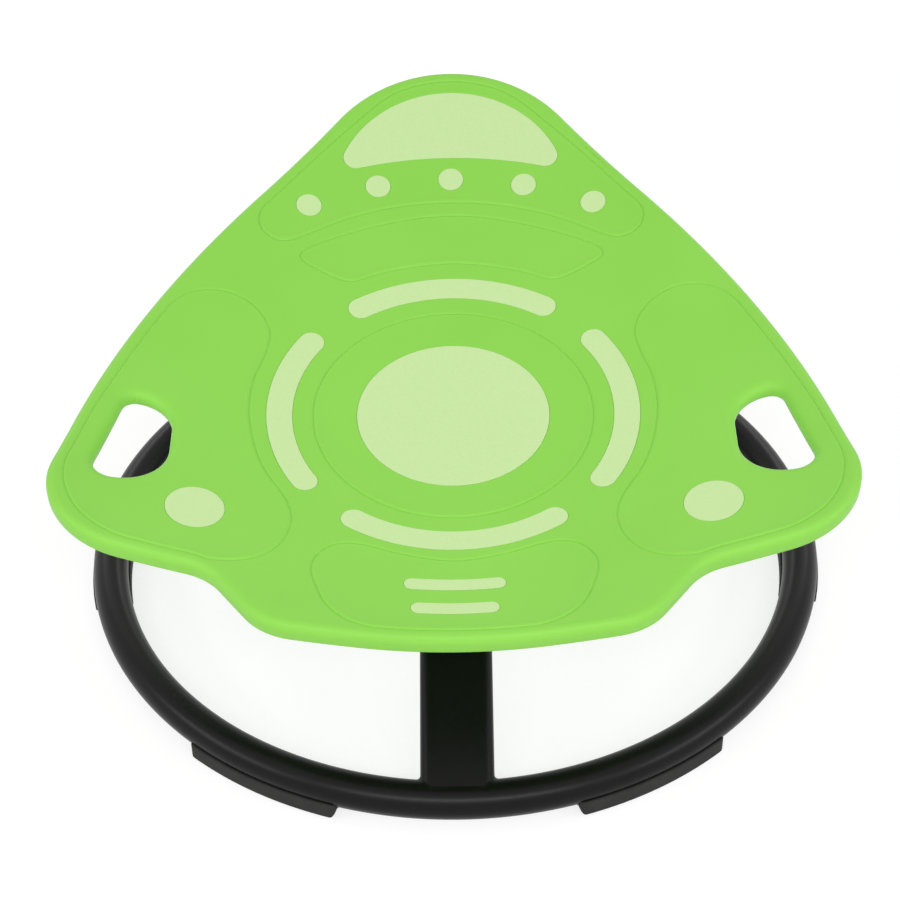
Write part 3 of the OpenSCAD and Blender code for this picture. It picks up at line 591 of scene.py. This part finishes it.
# %% Copies round an axis
copies_tree, given, add, calc = new_tree("copies_round_axis", {"Count": 6, "First Angle": 0.0, "Step Angle": 1.0})
spots = add("GeometryNodePoints", {"Count": given["Count"]})
index = add("GeometryNodeInputIndex", {})
angle = calc("MULTIPLY_ADD", index, given["Step Angle"], given["First Angle"])
facing = add("FunctionNodeAxisAngleToRotation", {"Axis": (0, 0, 1), "Angle": angle})
copies = add("GeometryNodeInstanceOnPoints",
             {"Points": spots, "Instance": given["Geometry"], "Rotation": facing})
ended(copies_tree, copies, given)


def copied(name, mesh, count, first=0.0, pitch=None, leaning=True):
    """Copies of a mesh round the spin axis, or round the ring's axis."""
    sizes = {"Count": count, "First Angle": math.radians(first), "Step Angle": math.radians(pitch or 360 / count)}
    made = grown(name, mesh, copies_tree, mesh.materials[0], sizes)
    if leaning:
        made.transform(SEAT_PLACE)
    return made


print("tree", copies_tree.name, "with", len(copies_tree.nodes), "nodes")

# %% [markdown]
# ## Ribs under the seat
# Twelve ribs stiffen the underside. Each one follows the dish from the ring wall round the hub and stops
# short of the rim or a hand hole. The tree gets one point a rib, with its angle, start and length, puts a
# slim block there, and bends it with the sphere's own formula.

# %% Ribs
RIB_COUNT, RIB_T, RIB_DEPTH, RIB_START, RIB_STOP = 12, 3.0, 9.0, 64.0, 11.5
RIB_LINE = np.arange(RIB_START, 400, 0.5)
LOW_WIDTH_SHARE = 0.65
OVERLAP = 0.4
HUB_RING, RING_RIB = 66.0, 150.0
ribs_tree, given, add, calc = new_tree("dish_ribs", {
    "Thickness": RIB_T * MM, "Top Depth": (SKIN - OVERLAP) * MM, "Low Depth": (SKIN + RIB_DEPTH) * MM,
    "Dish Radius": DISH_R * MM, "Dish Height": SEAT_H * MM})
block = add("GeometryNodeMeshCube", {"Size": (1, 1, 1), "Vertices X": 24})
slabs = add("GeometryNodeInstanceOnPoints", {"Points": given["Geometry"], "Instance": block})
slabs = add("GeometryNodeRealizeInstances", {"Geometry": slabs})
spread = add("ShaderNodeSeparateXYZ", {0: add("GeometryNodeInputPosition", {})}).node.outputs
about = {name: add("GeometryNodeInputNamedAttribute", {"Name": name}, data_type="FLOAT")
         for name in ("rib_angle", "rib_start", "rib_length")}
run = calc("MULTIPLY_ADD", calc("ADD", spread[0], 0.5), about["rib_length"], about["rib_start"])
rise = calc("ADD", spread[2], 0.5)
draft = calc("MULTIPLY_ADD", rise, 1 - LOW_WIDTH_SHARE, LOW_WIDTH_SHARE)
across = calc("MULTIPLY", calc("MULTIPLY", spread[1], draft), given["Thickness"])
depth = add("ShaderNodeMix", {0: rise, 2: given["Low Depth"], 3: given["Top Depth"]})
ball = calc("POWER", calc("ADD", given["Dish Radius"], depth), 2.0)
flat = calc("MULTIPLY_ADD", run, run, calc("MULTIPLY", across, across))
drop = calc("SQRT", calc("SUBTRACT", ball, flat))
level = calc("SUBTRACT", calc("ADD", given["Dish Height"], given["Dish Radius"]), drop)
spot = add("ShaderNodeCombineXYZ", {0: run, 1: across, 2: level})
spot = add("ShaderNodeVectorRotate", {"Vector": spot, "Angle": about["rib_angle"]}, rotation_type="Z_AXIS")
slabs = add("GeometryNodeSetPosition", {"Geometry": slabs, "Position": spot})
ended(ribs_tree, slabs, given)


def rib_length(angle):
    """How far a rib runs before it meets the rim's or a hand hole's clearance."""
    free = np.ones(len(RIB_LINE), bool)
    for side in (-RIB_T / 2, 0, RIB_T / 2):
        line = np.column_stack([RIB_LINE, np.full(len(RIB_LINE), side)])
        line = turned((line,), math.degrees(angle))[0]
        free &= inside(line, moved((edge, -edge_out), RIB_STOP))
        for hole in (right_hole, left_hole):
            free &= ~inside(line, moved(hole, RIB_STOP))
    return RIB_LINE[np.argmin(free)] - RIB_START


rib_angles = np.radians(np.arange(RIB_COUNT) * 360 / RIB_COUNT)
rib_spots = path_mesh("rib_spots", [(0, 0, 0)] * len(rib_angles))
for key, values in (("rib_angle", rib_angles), ("rib_start", np.full(RIB_COUNT, RIB_START * MM)),
                    ("rib_length", np.array([rib_length(a) for a in rib_angles]) * MM)):
    rib_spots.attributes.new(key, "FLOAT", "POINT").data.foreach_set("value", values.astype(np.float32))
ribs = grown("seat_ribs", rib_spots, ribs_tree, lime, {})
ribs.transform(SEAT_PLACE)
print("ribs:", len(ribs.polygons), "faces")

# %% [markdown]
# ## Turned shapes
# Rings, plates and cups are turned: a section with softened corners goes round the spin axis. A hexagon is
# turned too, with a radius that changes with the angle, which gives bolt heads and socket heads.

# %% Turned shapes
TURNS, ONE_STEP = 96, 60


def lathe(section, turns=TURNS):
    """Points and faces of a closed section of (radius, height) turned about the upright axis."""
    section = np.asarray(section, float)
    angle = np.arange(turns) * 2 * math.pi / turns
    points = np.stack([np.outer(np.cos(angle), section[:, 0]), np.outer(np.sin(angle), section[:, 0]),
                       np.tile(section[:, 1], (turns, 1))], -1).reshape(-1, 3)
    n = len(section)
    faces = [(i * n + k, j * n + k, j * n + m, i * n + m) for i in range(turns) for j in [(i + 1) % turns]
             for k in range(n) for m in [(k + 1) % n]]
    return points, faces


def soft_section(*corners):
    return rounded([(max(r, 1e-3), w, max(soft, 1e-3)) for r, w, soft in corners], ONE_STEP)[0]


def turned_piece(name, corners, material, body, slot, *nodes):
    points, faces = lathe(soft_section(*corners))
    placed(name, mesh_of(name, leaned(points), faces, material, MERGE_TURNED), body, slot, *nodes)


def wall_ring(radius, thickness, low, high):
    return lathe(soft_section((radius - thickness, low, 0.4), (radius, low, 0.4), (radius, high, 0.1),
                              (radius - thickness, high, 0.1)))


print("a turned wall has", len(wall_ring(HUB_RING, SKIN, 0, SKIN)[1]), "faces")

# %% [markdown]
# The hub's bosses, walls and webs hang from the underside of the seat. They overlap the skin by a little, so
# no gap shows, and they join the seat's own mesh, because they are moulded in one with it.

# %% Hub walls and bosses
BOSS_LOW, BOSS_TOP, BOSS_RING, BOSS_R, BRASS_R, BOLTS = 162.0, 177.2, 48.0, 9.5, 5.55, 6
INNER_RING, BOSS_TURNS = 35.5, 40


def height_under(radius, depth):
    return float(on_dish([(radius, 0)], depth)[0, 2])


def join_meshes(name, meshes, material):
    """One mesh from several, each shell kept closed."""
    shape = bmesh.new()
    for mesh in meshes:
        shape.from_mesh(mesh)
    joined = bpy.data.meshes.new(name)
    shape.to_mesh(joined)
    shape.free()
    joined.materials.append(material)
    return joined


hub_walls = [wall_ring(r, SKIN, BOSS_LOW, height_under(r, SKIN - OVERLAP)) for r in (HUB_RING, INNER_RING)]
hub_walls.append(wall_ring(RING_RIB + RIB_T / 2, RIB_T, height_under(RING_RIB, SKIN + RIB_DEPTH),
                           height_under(RING_RIB, SKIN - OVERLAP)))
hub_meshes = [mesh_of("hub_wall", leaned(points), faces, lime) for points, faces in hub_walls]
points, faces = lathe(soft_section((BRASS_R, BOSS_LOW, 0.3), (BOSS_R, BOSS_LOW, 0.5), (BOSS_R, BOSS_TOP, 0.1),
                                   (BRASS_R, BOSS_TOP, 0.1)), BOSS_TURNS)
boss = mesh_of("boss", (points + (BOSS_RING, 0, 0)) * MM, faces, lime)
hub_meshes.append(copied("bosses", boss, BOLTS))
seat_all = join_meshes("seat_shell_moulding", [seat_mesh, ribs] + hub_meshes, lime)
placed("seat_shell_moulding", seat_all, "seat", "lime_plastic", "seat_shell")

# %% [markdown]
# ## Glow inlays
# The pale inlays are plates moulded of plastic with a pigment that stores light. Each one follows the dish
# and sits flush in its pocket. Its top edge is rounded a little, which draws the fine line round it.

# %% Glow inlays
PLATE_GRID = (9, 4)
PLATE = [(-0.9, 0.0), (-0.4, 0.0), (-0.14, 0.08), (-0.05, 0.32), (-0.12, 1.55)]


def plate(loop):
    """A plate on the dish with a rounded top edge."""
    rings = [moved(loop, offset) for offset, _ in PLATE]
    loose = grid_inside(rings[0], rings[0], *PLATE_GRID)
    points, faces, _ = filled([rings[0]], loose, rings[0], [])
    shell = Shell()
    top = shell.add(on_dish(points, 0), faces)
    bent = [top[:len(rings[0])]] + [shell.add(on_dish(ring, d)) for ring, (_, d) in zip(rings[1:], PLATE[1:])]
    points[:len(rings[0])] = rings[-1]
    low = shell.add(on_dish(points[len(rings[0]):], PLATE[-1][1]))
    number = np.concatenate([bent[-1], low])
    shell.carry(bent)
    shell.faces += [tuple(f) for f in number[faces]]
    return np.vstack(shell.points), shell.faces


for node, loop in inlays.items():
    points, faces = plate(loop)
    placed(node.replace("insert", "inlay"), mesh_of(node, leaned(points), faces, glow), "seat", "glow_plastic", node)
points, faces = plate(dot)
dots = copied("rear_dots", mesh_of("dot", points * MM, faces, glow), 5, -2 * DOT_PITCH, DOT_PITCH)
placed("rear_dot_inlays", dots, "seat", "glow_plastic", "rear_dot_inserts")

# %% [markdown]
# ## Floor ring and arch
# Both are bent tubes. The tree carries a rectangle with rounded corners along a path. Corners of half its
# side make the round tube of the floor ring, and smaller ones the flat oval of the arch. The arch's bends
# are arcs, and its ends run into the ring.

# %% Tubes along a path
RING_R, RING_H, TUBE_R, RING_POINTS = 282.0, 20.0, 14.0, 240
ARCH_W, ARCH_T, ARCH_CORNER, ARCH_BEND, ARCH_H, ARCH_REACH = 54.0, 26.0, 9.0, 55.0, 119.0, 70.0
BEND_STEPS = 18
tube_tree, given, add, _ = new_tree("tube_along_path", {
    "Width": 2 * TUBE_R * MM, "Thickness": 2 * TUBE_R * MM, "Corner": TUBE_R * MM, "Steps": 12})
path = add("GeometryNodeMeshToCurve", {"Mesh": given["Geometry"]})
profile = add("GeometryNodeCurvePrimitiveQuadrilateral", {"Width": given["Width"], "Height": given["Thickness"]})
profile = add("GeometryNodeFilletCurve", {"Curve": profile, "Count": given["Steps"], "Radius": given["Corner"],
                                          "Limit Radius": True}, mode="POLY")
tube = add("GeometryNodeCurveToMesh", {"Curve": path, "Profile Curve": profile, "Fill Caps": True})
ended(tube_tree, tube, given)


def circle(radius, height, count):
    """Points of a level circle about the upright axis."""
    angle = np.linspace(0, 2 * math.pi, count, endpoint=False)
    return np.column_stack([radius * np.cos(angle), radius * np.sin(angle), np.full(count, height)])


ring_path = path_mesh("ring_path", circle(RING_R, RING_H, RING_POINTS) * MM)
ring = grown("floor_ring", ring_path, tube_tree, coat, {}, MERGE_TUBE)
placed("floor_ring", ring, "base", "black_steel", "base_ring")

axis_y, axis_z = PIVOT_Y - ARCH_H * math.sin(TILT), ARCH_H * math.cos(TILT)
arch_top = [(y, axis_z + (y - axis_y) * math.tan(TILT)) for y in (-ARCH_REACH, ARCH_REACH)]
arch_corners = np.array([(-RING_R, RING_H), *arch_top, (RING_R, RING_H)])


def bent_path(corners, radius):
    """An open path with its inner corners bent to a radius."""
    points = [corners[0]]
    for before, at, after in zip(corners[:-2], corners[1:-1], corners[2:]):
        into, out = (at - before) / np.linalg.norm(at - before), (after - at) / np.linalg.norm(after - at)
        bend = math.acos(float(into @ out))
        start = at - into * radius * math.tan(bend / 2)
        side = np.array([into[1], -into[0]]) * radius
        for k in range(BEND_STEPS + 1):
            c, s = math.cos(bend * k / BEND_STEPS), math.sin(bend * k / BEND_STEPS)
            points.append(start + side - np.array([side[0] * c + side[1] * s, side[1] * c - side[0] * s]))
    return np.array(points + [corners[-1]])


arch_line = bent_path(arch_corners, ARCH_BEND)
arch_path = np.column_stack([np.zeros(len(arch_line)), arch_line]) * MM
arch_mesh = grown("support_arch", path_mesh("arch_path", arch_path, closed=False), tube_tree, coat,
                  {"Width": ARCH_W * MM, "Thickness": ARCH_T * MM, "Corner": ARCH_CORNER * MM})
print("arch size:", (np.ptp([v.co for v in arch_mesh.vertices], 0) / MM).round(1), "mm")
placed("support_arch_tube", arch_mesh, "base", "black_steel", "support_arch")

# %% [markdown]
# ## Weld beads
# A welder runs a bead round the bearing housing, above and below the arch. The tree carries a small circle
# along each line, and noise makes the ripples. Each foot of the arch has a hollow weld instead. Its rings are
# the lines where the flat oval and the round tube meet when both are grown. The growth passes from the oval
# to the tube over a quarter turn, which makes the hollow.

# %% Weld beads
bead_tree, given, add, calc = new_tree("weld_bead", {"Radius": 0.0017, "Ripple": 0.0007, "Ripple Scale": 260.0})
path = add("GeometryNodeMeshToCurve", {"Mesh": given["Geometry"]})
profile = add("GeometryNodeCurvePrimitiveCircle", {"Resolution": 12, "Radius": given["Radius"]})
bead = add("GeometryNodeCurveToMesh", {"Curve": path, "Profile Curve": profile})
ripple = add("ShaderNodeTexNoise", {"Scale": given["Ripple Scale"], "Detail": 1.0})
ripple = calc("MULTIPLY", calc("SUBTRACT", ripple, 0.5), given["Ripple"])
normal = add("GeometryNodeInputNormal", {})
outwards = add("ShaderNodeVectorMath", {0: normal, "Scale": ripple}, operation="SCALE")
bead = add("GeometryNodeSetPosition", {"Geometry": bead, "Offset": outwards})
ended(bead_tree, bead, given)

BOX_SIGNS = ((-1, -1), (1, -1), (1, 1), (-1, 1))
LEG_OVAL = rounded([(u * ARCH_W / 2, t * ARCH_T / 2, ARCH_CORNER) for u, t in BOX_SIGNS], 2)
WELD_SIDE, WELD_FACE, WELD_SUNK = 3.0, 0.6, 0.6
WELD_REACH, HALVINGS, WELD_STEP = 40.0, 30, 15
BEAD_RING, BEAD_RISE, BEAD_POINTS = 21.8, 0.6, 72


def foot_line(end, towards, from_leg, from_tube):
    """Where the arch's oval meets the ring's tube, each grown by so much."""
    heading = (towards - end) / np.linalg.norm(towards - end)
    side = np.array([-heading[1], heading[0]])
    x, t = (LEG_OVAL[0] + LEG_OVAL[1] * np.reshape(from_leg, (-1, 1))).T
    low, high = np.zeros(len(x)), np.full(len(x), WELD_REACH)
    for _ in range(HALVINGS):
        run = (low + high) / 2
        y, z = (end + np.outer(run, heading) + np.outer(t, side)).T
        within = np.hypot(np.hypot(x, y) - RING_R, z - RING_H) < TUBE_R + from_tube
        low, high = np.where(within, run, low), np.where(within, high, run)
    return np.column_stack([x, y, z]) * MM


def foot_weld(end, towards):
    """A hollow weld, wide at the leg's sides and narrow on its faces."""
    size = WELD_FACE + (WELD_SIDE - WELD_FACE) * LEG_OVAL[1][:, 0] ** 2
    shell = Shell()
    rings = [shell.add(foot_line(end, towards, size * (1 - math.sin(a)), size * (1 - math.cos(a))))
             for a in np.radians(np.arange(0, 91, WELD_STEP))]
    rings.append(shell.add(foot_line(end, towards, -WELD_SUNK, -WELD_SUNK)))
    shell.carry(rings + rings[:1])
    return mesh_of("foot_weld", np.vstack(shell.points), shell.faces, coat)


bead_lines = [leaned(circle(BEAD_RING, ARCH_H + up * (ARCH_T / 2 + BEAD_RISE), BEAD_POINTS)) for up in (1, -1)]
beads = grown("housing_beads", path_mesh("bead_lines", *bead_lines), bead_tree, coat, {})
welds = [foot_weld(arch_corners[0], arch_corners[1]), foot_weld(arch_corners[3], arch_corners[2])]
beads = join_meshes("weld_beads", [beads] + welds, coat)
placed("weld_beads", beads, "base", "black_steel")

# %% [markdown]
# ## Hub and bearing housing
# The visible turned parts get softened corners: the hub plate under the seat, the housing in the arch, the
# push-on cap below it and the rubber seal on the spindle's collar. The parts inside keep the CAD shapes.

# %% Hub and bearing housing
turned_piece("hub_plate_turned", [(8.55, 157, 0.3), (70, 157, 1.2), (70, 162, 0.8), (8.55, 162, 0.3)], coat,
             "seat", "black_steel", "hub_plate")
turned_piece("bearing_housing_turned",
             [(17.55, 92, 0.5), (21, 92, 0.8), (21, 148, 1.2), (17.55, 148, 0.8), (17.55, 137, 0.2),
              (15.25, 137, 0.2), (15.25, 103, 0.2), (17.55, 103, 0.2)],
             coat, "base", "black_steel", "bearing_housing")
turned_piece("housing_cap_moulded",
             [(0, 69.5, 0), (23.55, 69.5, 3), (23.55, 100, 0.9), (21.05, 100, 0.6), (21.05, 92, 0.2), (18.5, 92, 0.2),
              (18.5, 72, 1), (0, 72, 0)], cap_plastic, "base", "black_plastic", "housing_cap")
turned_piece("dust_seal_moulded",
             [(12.05, 152.65, 0.3), (15.62, 148.3, 0.3), (19.25, 148.3, 0.2), (15.62, 152.95, 0.5), (15.62, 157, 0.2),
              (12.05, 157, 0.2)], rubber, "seat", "foot_rubber", "dust_seal")

# %% [markdown]
# ## Bolts, screws and balls
# One bolt, one pair of foot screws and one ball are modelled, and the copies tree sets them round their axis.

# %% Bolts, screws and balls


def turned_hex(rings, turns=48):
    """Points and faces of rings (height, radius and, on a hexagon, its width), closed at both ends."""
    points = []
    for height, radius, *flats in rings:
        for a in np.arange(turns) * 2 * math.pi / turns:
            off_flat = (a + math.pi / 6) % (math.pi / 3) - math.pi / 6
            r = min([radius] + [width / 2 / math.cos(off_flat) for width in flats])
            points.append((r * math.cos(a), r * math.sin(a), height))
    return np.array(points, float), ring_faces(len(rings), turns)


SCREW_SIDES = (-7.5, 7.5)
HEAD_SEAT, RECESS_R, SCREW_TURNS, FEET = 3.4, 4.4, 36, 6
BALLS, BALL_R, BALL_RING, BEARING_W = 10, 2.4, 13.0, 10


def at_screw(points, side):
    """Points about the origin moved to a foot screw's place on the ring, in metres."""
    plan = turned((points[:, :2] + (RING_R, 0),), side)[0]
    return np.column_stack([plan, points[:, 2]]) * MM


bolt_rings = [(174, 3.9), (157, 3.9), (157, 8.2), (156.7, 8.5), (156.0, 8.5), (155.4, 7.9), (155.2, 9, 13),
              (152.3, 9, 13), (151.6, 6.6, 13), (151.5, 6.1, 13), (151.5, 4.2), (151.9, 3.6)]
points, faces = turned_hex(bolt_rings)
bolt = mesh_of("hub_bolt", (points + (BOSS_RING, 0, 0)) * MM, faces, zinc)
placed("hub_flange_bolts", copied("hub_bolts", bolt, BOLTS), "seat", "zinc_steel", "hub_bolts")

screw_rings = [(13, 1.0), (12, 1.9), (HEAD_SEAT, 1.9), (HEAD_SEAT, 4.0), (2.2, 4.0), (1.4, 3.6), (1.0, 2.7),
               (1.0, 2, 3.2), (2.6, 2, 3.2), (2.9, 0.6)]
points, faces = turned_hex(screw_rings, SCREW_TURNS)
pair = [mesh_of("foot_screw", at_screw(points, side), faces, zinc) for side in SCREW_SIDES]
screws = copied("foot_screws", join_meshes("screw_pair", pair, zinc), FEET, leaning=False)
placed("foot_socket_screws", screws, "base", "zinc_steel", "foot_screws")

for level, bottom in (("upper", 137.0), ("lower", 93.0)):
    shape = bmesh.new()
    bmesh.ops.create_icosphere(shape, subdivisions=3, radius=BALL_R * MM)
    bmesh.ops.translate(shape, verts=shape.verts, vec=Vector((BALL_RING, 0, bottom + BEARING_W / 2)) * MM)
    ball = bpy.data.meshes.new("ball")
    shape.to_mesh(ball)
    shape.free()
    ball.materials.append(race_steel)
    placed(f"{level}_bearing_balls", copied("balls", ball, BALLS), f"{level}_cage", "bearing_steel", f"{level}_balls")

# %% [markdown]
# ## Rubber feet
# Six saddle feet grip the ring from below. One foot is a section carried along the ring's arc: a flat sole
# with two grip channels, round lower corners, and a hollow that fits the tube. Towards its ends the sole
# rises and the sides turn in, both in a round. A Boolean opens the two screw recesses, and the foot is
# turned to its six places.

# %% Rubber feet
FOOT_HALF, FOOT_H, FOOT_SPAN, END_R, END_ROUND = 15.2, 15.0, 25.0, 10.0, 4.5
SADDLE_R, SADDLE_EDGE, SADDLE_MOUTH, SADDLE_LOW, SADDLE_BACK = 14.05, 13.1, 13.13, 5.9, 1.5
CHANNELS, CHANNEL_R, CHANNEL_DEPTH = (-8.0, 8.0), 0.4, 0.8
NEAR_END = np.array([0, 0.12, 0.45, 1.0, 1.8, 2.9, 4.5, 7.0, 10.0])
INNER_STATIONS, INNER_START, THINNEST = 15, 12, 1.5


def foot_section():
    sole = [(-FOOT_HALF, 0, 4), (FOOT_HALF, 0, 4)]
    side = [(FOOT_HALF, FOOT_H, 1.2), (SADDLE_EDGE, FOOT_H, 0.4)]
    outer = corner_arcs(sole + side + [(0, SADDLE_LOW, 0.1)] + [(-u, v, r) for u, v, r in reversed(side)])
    half = math.degrees(math.asin(SADDLE_MOUTH / SADDLE_R)) - SADDLE_BACK
    saddle = ((0, RING_H), SADDLE_R, 270 + half, 270 - half)
    arcs = [outer[0]]
    for u in CHANNELS:
        for across, height, first, last in ((-1.6, CHANNEL_R, 270, 360), (-0.8, CHANNEL_DEPTH, 180, 90),
                                            (0.8, CHANNEL_DEPTH, 90, 0), (1.6, CHANNEL_R, 180, 270)):
            arcs.append(((u + across, height), CHANNEL_R, first, last))
    return arc_chain(arcs + outer[1:4] + [saddle] + outer[5:], 3)[0]


def foot_mesh():
    section = foot_section()
    half = math.radians(FOOT_SPAN / 2)
    near, inner = NEAR_END / RING_R, half - INNER_START / RING_R
    stations = np.concatenate([-half + near, np.linspace(-inner, inner, INNER_STATIONS), half - near[::-1]])
    points = []
    for a in stations:
        d = (half - abs(a)) * RING_R
        lift, lean = (r - math.sqrt(max(0.0, r ** 2 - max(0.0, r - d) ** 2)) for r in (END_R, END_ROUND))
        x = np.clip(section[:, 0], lean - FOOT_HALF, FOOT_HALF - lean)
        tube = RING_H - np.sqrt(np.clip(SADDLE_R ** 2 - x ** 2, (RING_H - FOOT_H) ** 2, None))
        z = np.clip(section[:, 1], np.minimum(lift, tube - THINNEST), tube)
        points.append(np.column_stack([(RING_R + x) * math.cos(a), (RING_R + x) * math.sin(a), z]))
    return mesh_of("foot", np.vstack(points) * MM, ring_faces(len(stations), len(section)), rubber, MERGE)


def with_recesses(mesh):
    """The foot with two round recesses for its screws."""
    points, faces = turned_hex([(-2, RECESS_R), (HEAD_SEAT, RECESS_R)], SCREW_TURNS)
    drills = [mesh_of("drill", at_screw(points, side), faces, rubber) for side in SCREW_SIDES]
    holder, cutter = linked("foot", mesh), linked("drills", join_meshes("drills", drills, rubber))
    cut = holder.modifiers.new("recesses", "BOOLEAN")
    cut.object, cut.solver = cutter, "EXACT"
    return tidied(after_modifiers(holder, cutter), rubber, MERGE)


foot = with_recesses(foot_mesh())
FOOT_NODES = ["foot_right", "foot_rear_right", "foot_rear_left", "foot_left", "foot_front_left", "foot_front_right"]
for k, node in enumerate(FOOT_NODES):
    mesh = foot.copy()
    mesh.transform(Matrix.Rotation(math.radians(k * 360 / FEET), 4, "Z"))
    placed("rubber_" + node, mesh, "base", "foot_rubber", node)

# %% [markdown]
# ## Finishes for the CAD nodes that stay
# The bearing's rings and cages, the spindle with its spacer, washer and nut, and the brass inserts keep
# their CAD shapes. They only get their finishes.

# %% Finishes for the CAD nodes that stay
STAYING = {
    steel: ["spindle", "bearing_spacer"], zinc: ["spindle_washer", "spindle_nut"], brass: ["threaded_inserts"],
    race_steel: ["upper_outer_race", "lower_outer_race", "upper_inner_race", "lower_inner_race"],
    nylon: ["upper_ball_cage", "lower_ball_cage"],
}
for material, names in STAYING.items():
    for name in names:
        for material_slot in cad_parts[name].material_slots:
            material_slot.material = material
print("kept CAD nodes:", sorted(n for names in STAYING.values() for n in names))

# %% [markdown]
# ## Floor, light and camera
# The floor is plain and pale. Camera, glossy and transmission rays see white added to it, so the background
# turns white while the soft shadow stays. The light is an even sky, one wide soft lamp at the front and
# weaker ones round the sides, which draw soft streaks on the black tube. The camera stands where the
# photographer stood, as fitted to the ring's and the seat's outlines in the picture.

# %% Floor and sky
scene = bpy.context.scene
scene.view_settings.view_transform = "Standard"
WHITE, PAINT, SHADED = ((v, v, v, 1) for v in (1.0, 0.80, 0.32))
FLOOR_LIFT, SKY_STRENGTH = 0.75, 0.53
FLOOR_HALF, FLOOR_Z = 9, -0.0004


def direct_rays(owner):
    """A way to add to an emptied shader tree, and 1 for camera, glossy and transmission rays."""
    owner.use_nodes = True
    tree = owner.node_tree
    tree.nodes.clear()
    rays = tree.nodes.new("ShaderNodeLightPath").outputs
    seen = sums(tree, "MAXIMUM", rays["Is Camera Ray"], rays["Is Glossy Ray"])
    return partial(step, tree), sums(tree, "MAXIMUM", seen, rays["Is Transmission Ray"])


floor_finish = bpy.data.materials.new("pale_floor")
add, direct = direct_rays(floor_finish)
paint, shaded = (add("ShaderNodeBsdfDiffuse", {"Color": colour}) for colour in (PAINT, SHADED))
lifted = add("ShaderNodeAddShader", {0: shaded, 1: add("ShaderNodeEmission", {"Strength": FLOOR_LIFT})})
mix = add("ShaderNodeMixShader", {0: direct, 1: paint, 2: lifted})
add("ShaderNodeOutputMaterial", {"Surface": mix})
floor_mesh = bpy.data.meshes.new("floor")
floor_mesh.from_pydata([(x * FLOOR_HALF, y * FLOOR_HALF, FLOOR_Z) for x, y in BOX_SIGNS], [], [(0, 1, 2, 3)])
floor_mesh.materials.append(floor_finish)
floor = linked("floor", floor_mesh)

scene.world = bpy.data.worlds.new("studio")
add, direct = direct_rays(scene.world)
sky, white = (add("ShaderNodeBackground", {"Color": WHITE, "Strength": s}) for s in (SKY_STRENGTH, 1.0))
mix = add("ShaderNodeMixShader", {0: direct, 1: sky, 2: white})
add("ShaderNodeOutputWorld", {"Surface": mix})
print("floor", floor.name, "and sky", scene.world.name)

# %% Lamps
LAMP_AIM = Vector((0, 0, 0.15))
SIDES = (("right", 1), ("left", -1))
LAMPS = [("front_softbox", (0.0, -1.9, 1.75), (2.4, 0.35), 25.0)]
LAMPS += [(f"{side}_softbox", (x * 2.1, -0.9, 1.2), (1.6, 0.35), 12.0) for side, x in SIDES]
LAMPS += [(f"rear_{side}_strip", (x * 1.1, 1.9, 1.15), (1.2, 0.25), 5.0) for side, x in SIDES]
for name, spot, size, power in LAMPS:
    lamp = bpy.data.lights.new(name, "AREA")
    lamp.shape, lamp.energy = "RECTANGLE", power
    lamp.size, lamp.size_y = size
    holder = linked(name, lamp)
    holder.location = spot
    holder.rotation_euler = (LAMP_AIM - Vector(spot)).to_track_quat("-Z", "Y").to_euler()
print("lamps:", [name for name, *_ in LAMPS])

# %% Camera
FRAME_PX = 900.0
AZIMUTH, ELEVATION, ROLL_TURN = math.radians(0.25), math.radians(39.44), math.radians(-0.85)
DISTANCE, FOCAL_PX = 1.755, 2126.5
RING_CENTRE_PX = (455.0, 539.7)
level = math.cos(ELEVATION)
ahead = Vector((-math.sin(AZIMUTH) * level, math.cos(AZIMUTH) * level, -math.sin(ELEVATION)))
right = ahead.cross(Vector((0, 0, 1))).normalized()
up = right.cross(ahead)
c, s = math.cos(ROLL_TURN), math.sin(ROLL_TURN)
right, up = right * c + up * s, up * c - right * s
seen_at = [(p - FRAME_PX / 2) / FOCAL_PX * DISTANCE for p in RING_CENTRE_PX]
spot = Vector((0, 0, RING_H * MM)) - right * seen_at[0] + up * seen_at[1] - ahead * DISTANCE
lens = bpy.data.cameras.new("camera")
lens.sensor_width = 36.0
lens.lens = FOCAL_PX / FRAME_PX * lens.sensor_width
camera = linked("camera", lens)
camera.matrix_world = Matrix.Translation(spot) @ Matrix((right, up, -ahead)).transposed().to_4x4()
scene.camera = camera
print("camera at", [round(x, 3) for x in spot], "lens", round(lens.lens, 1), "mm")
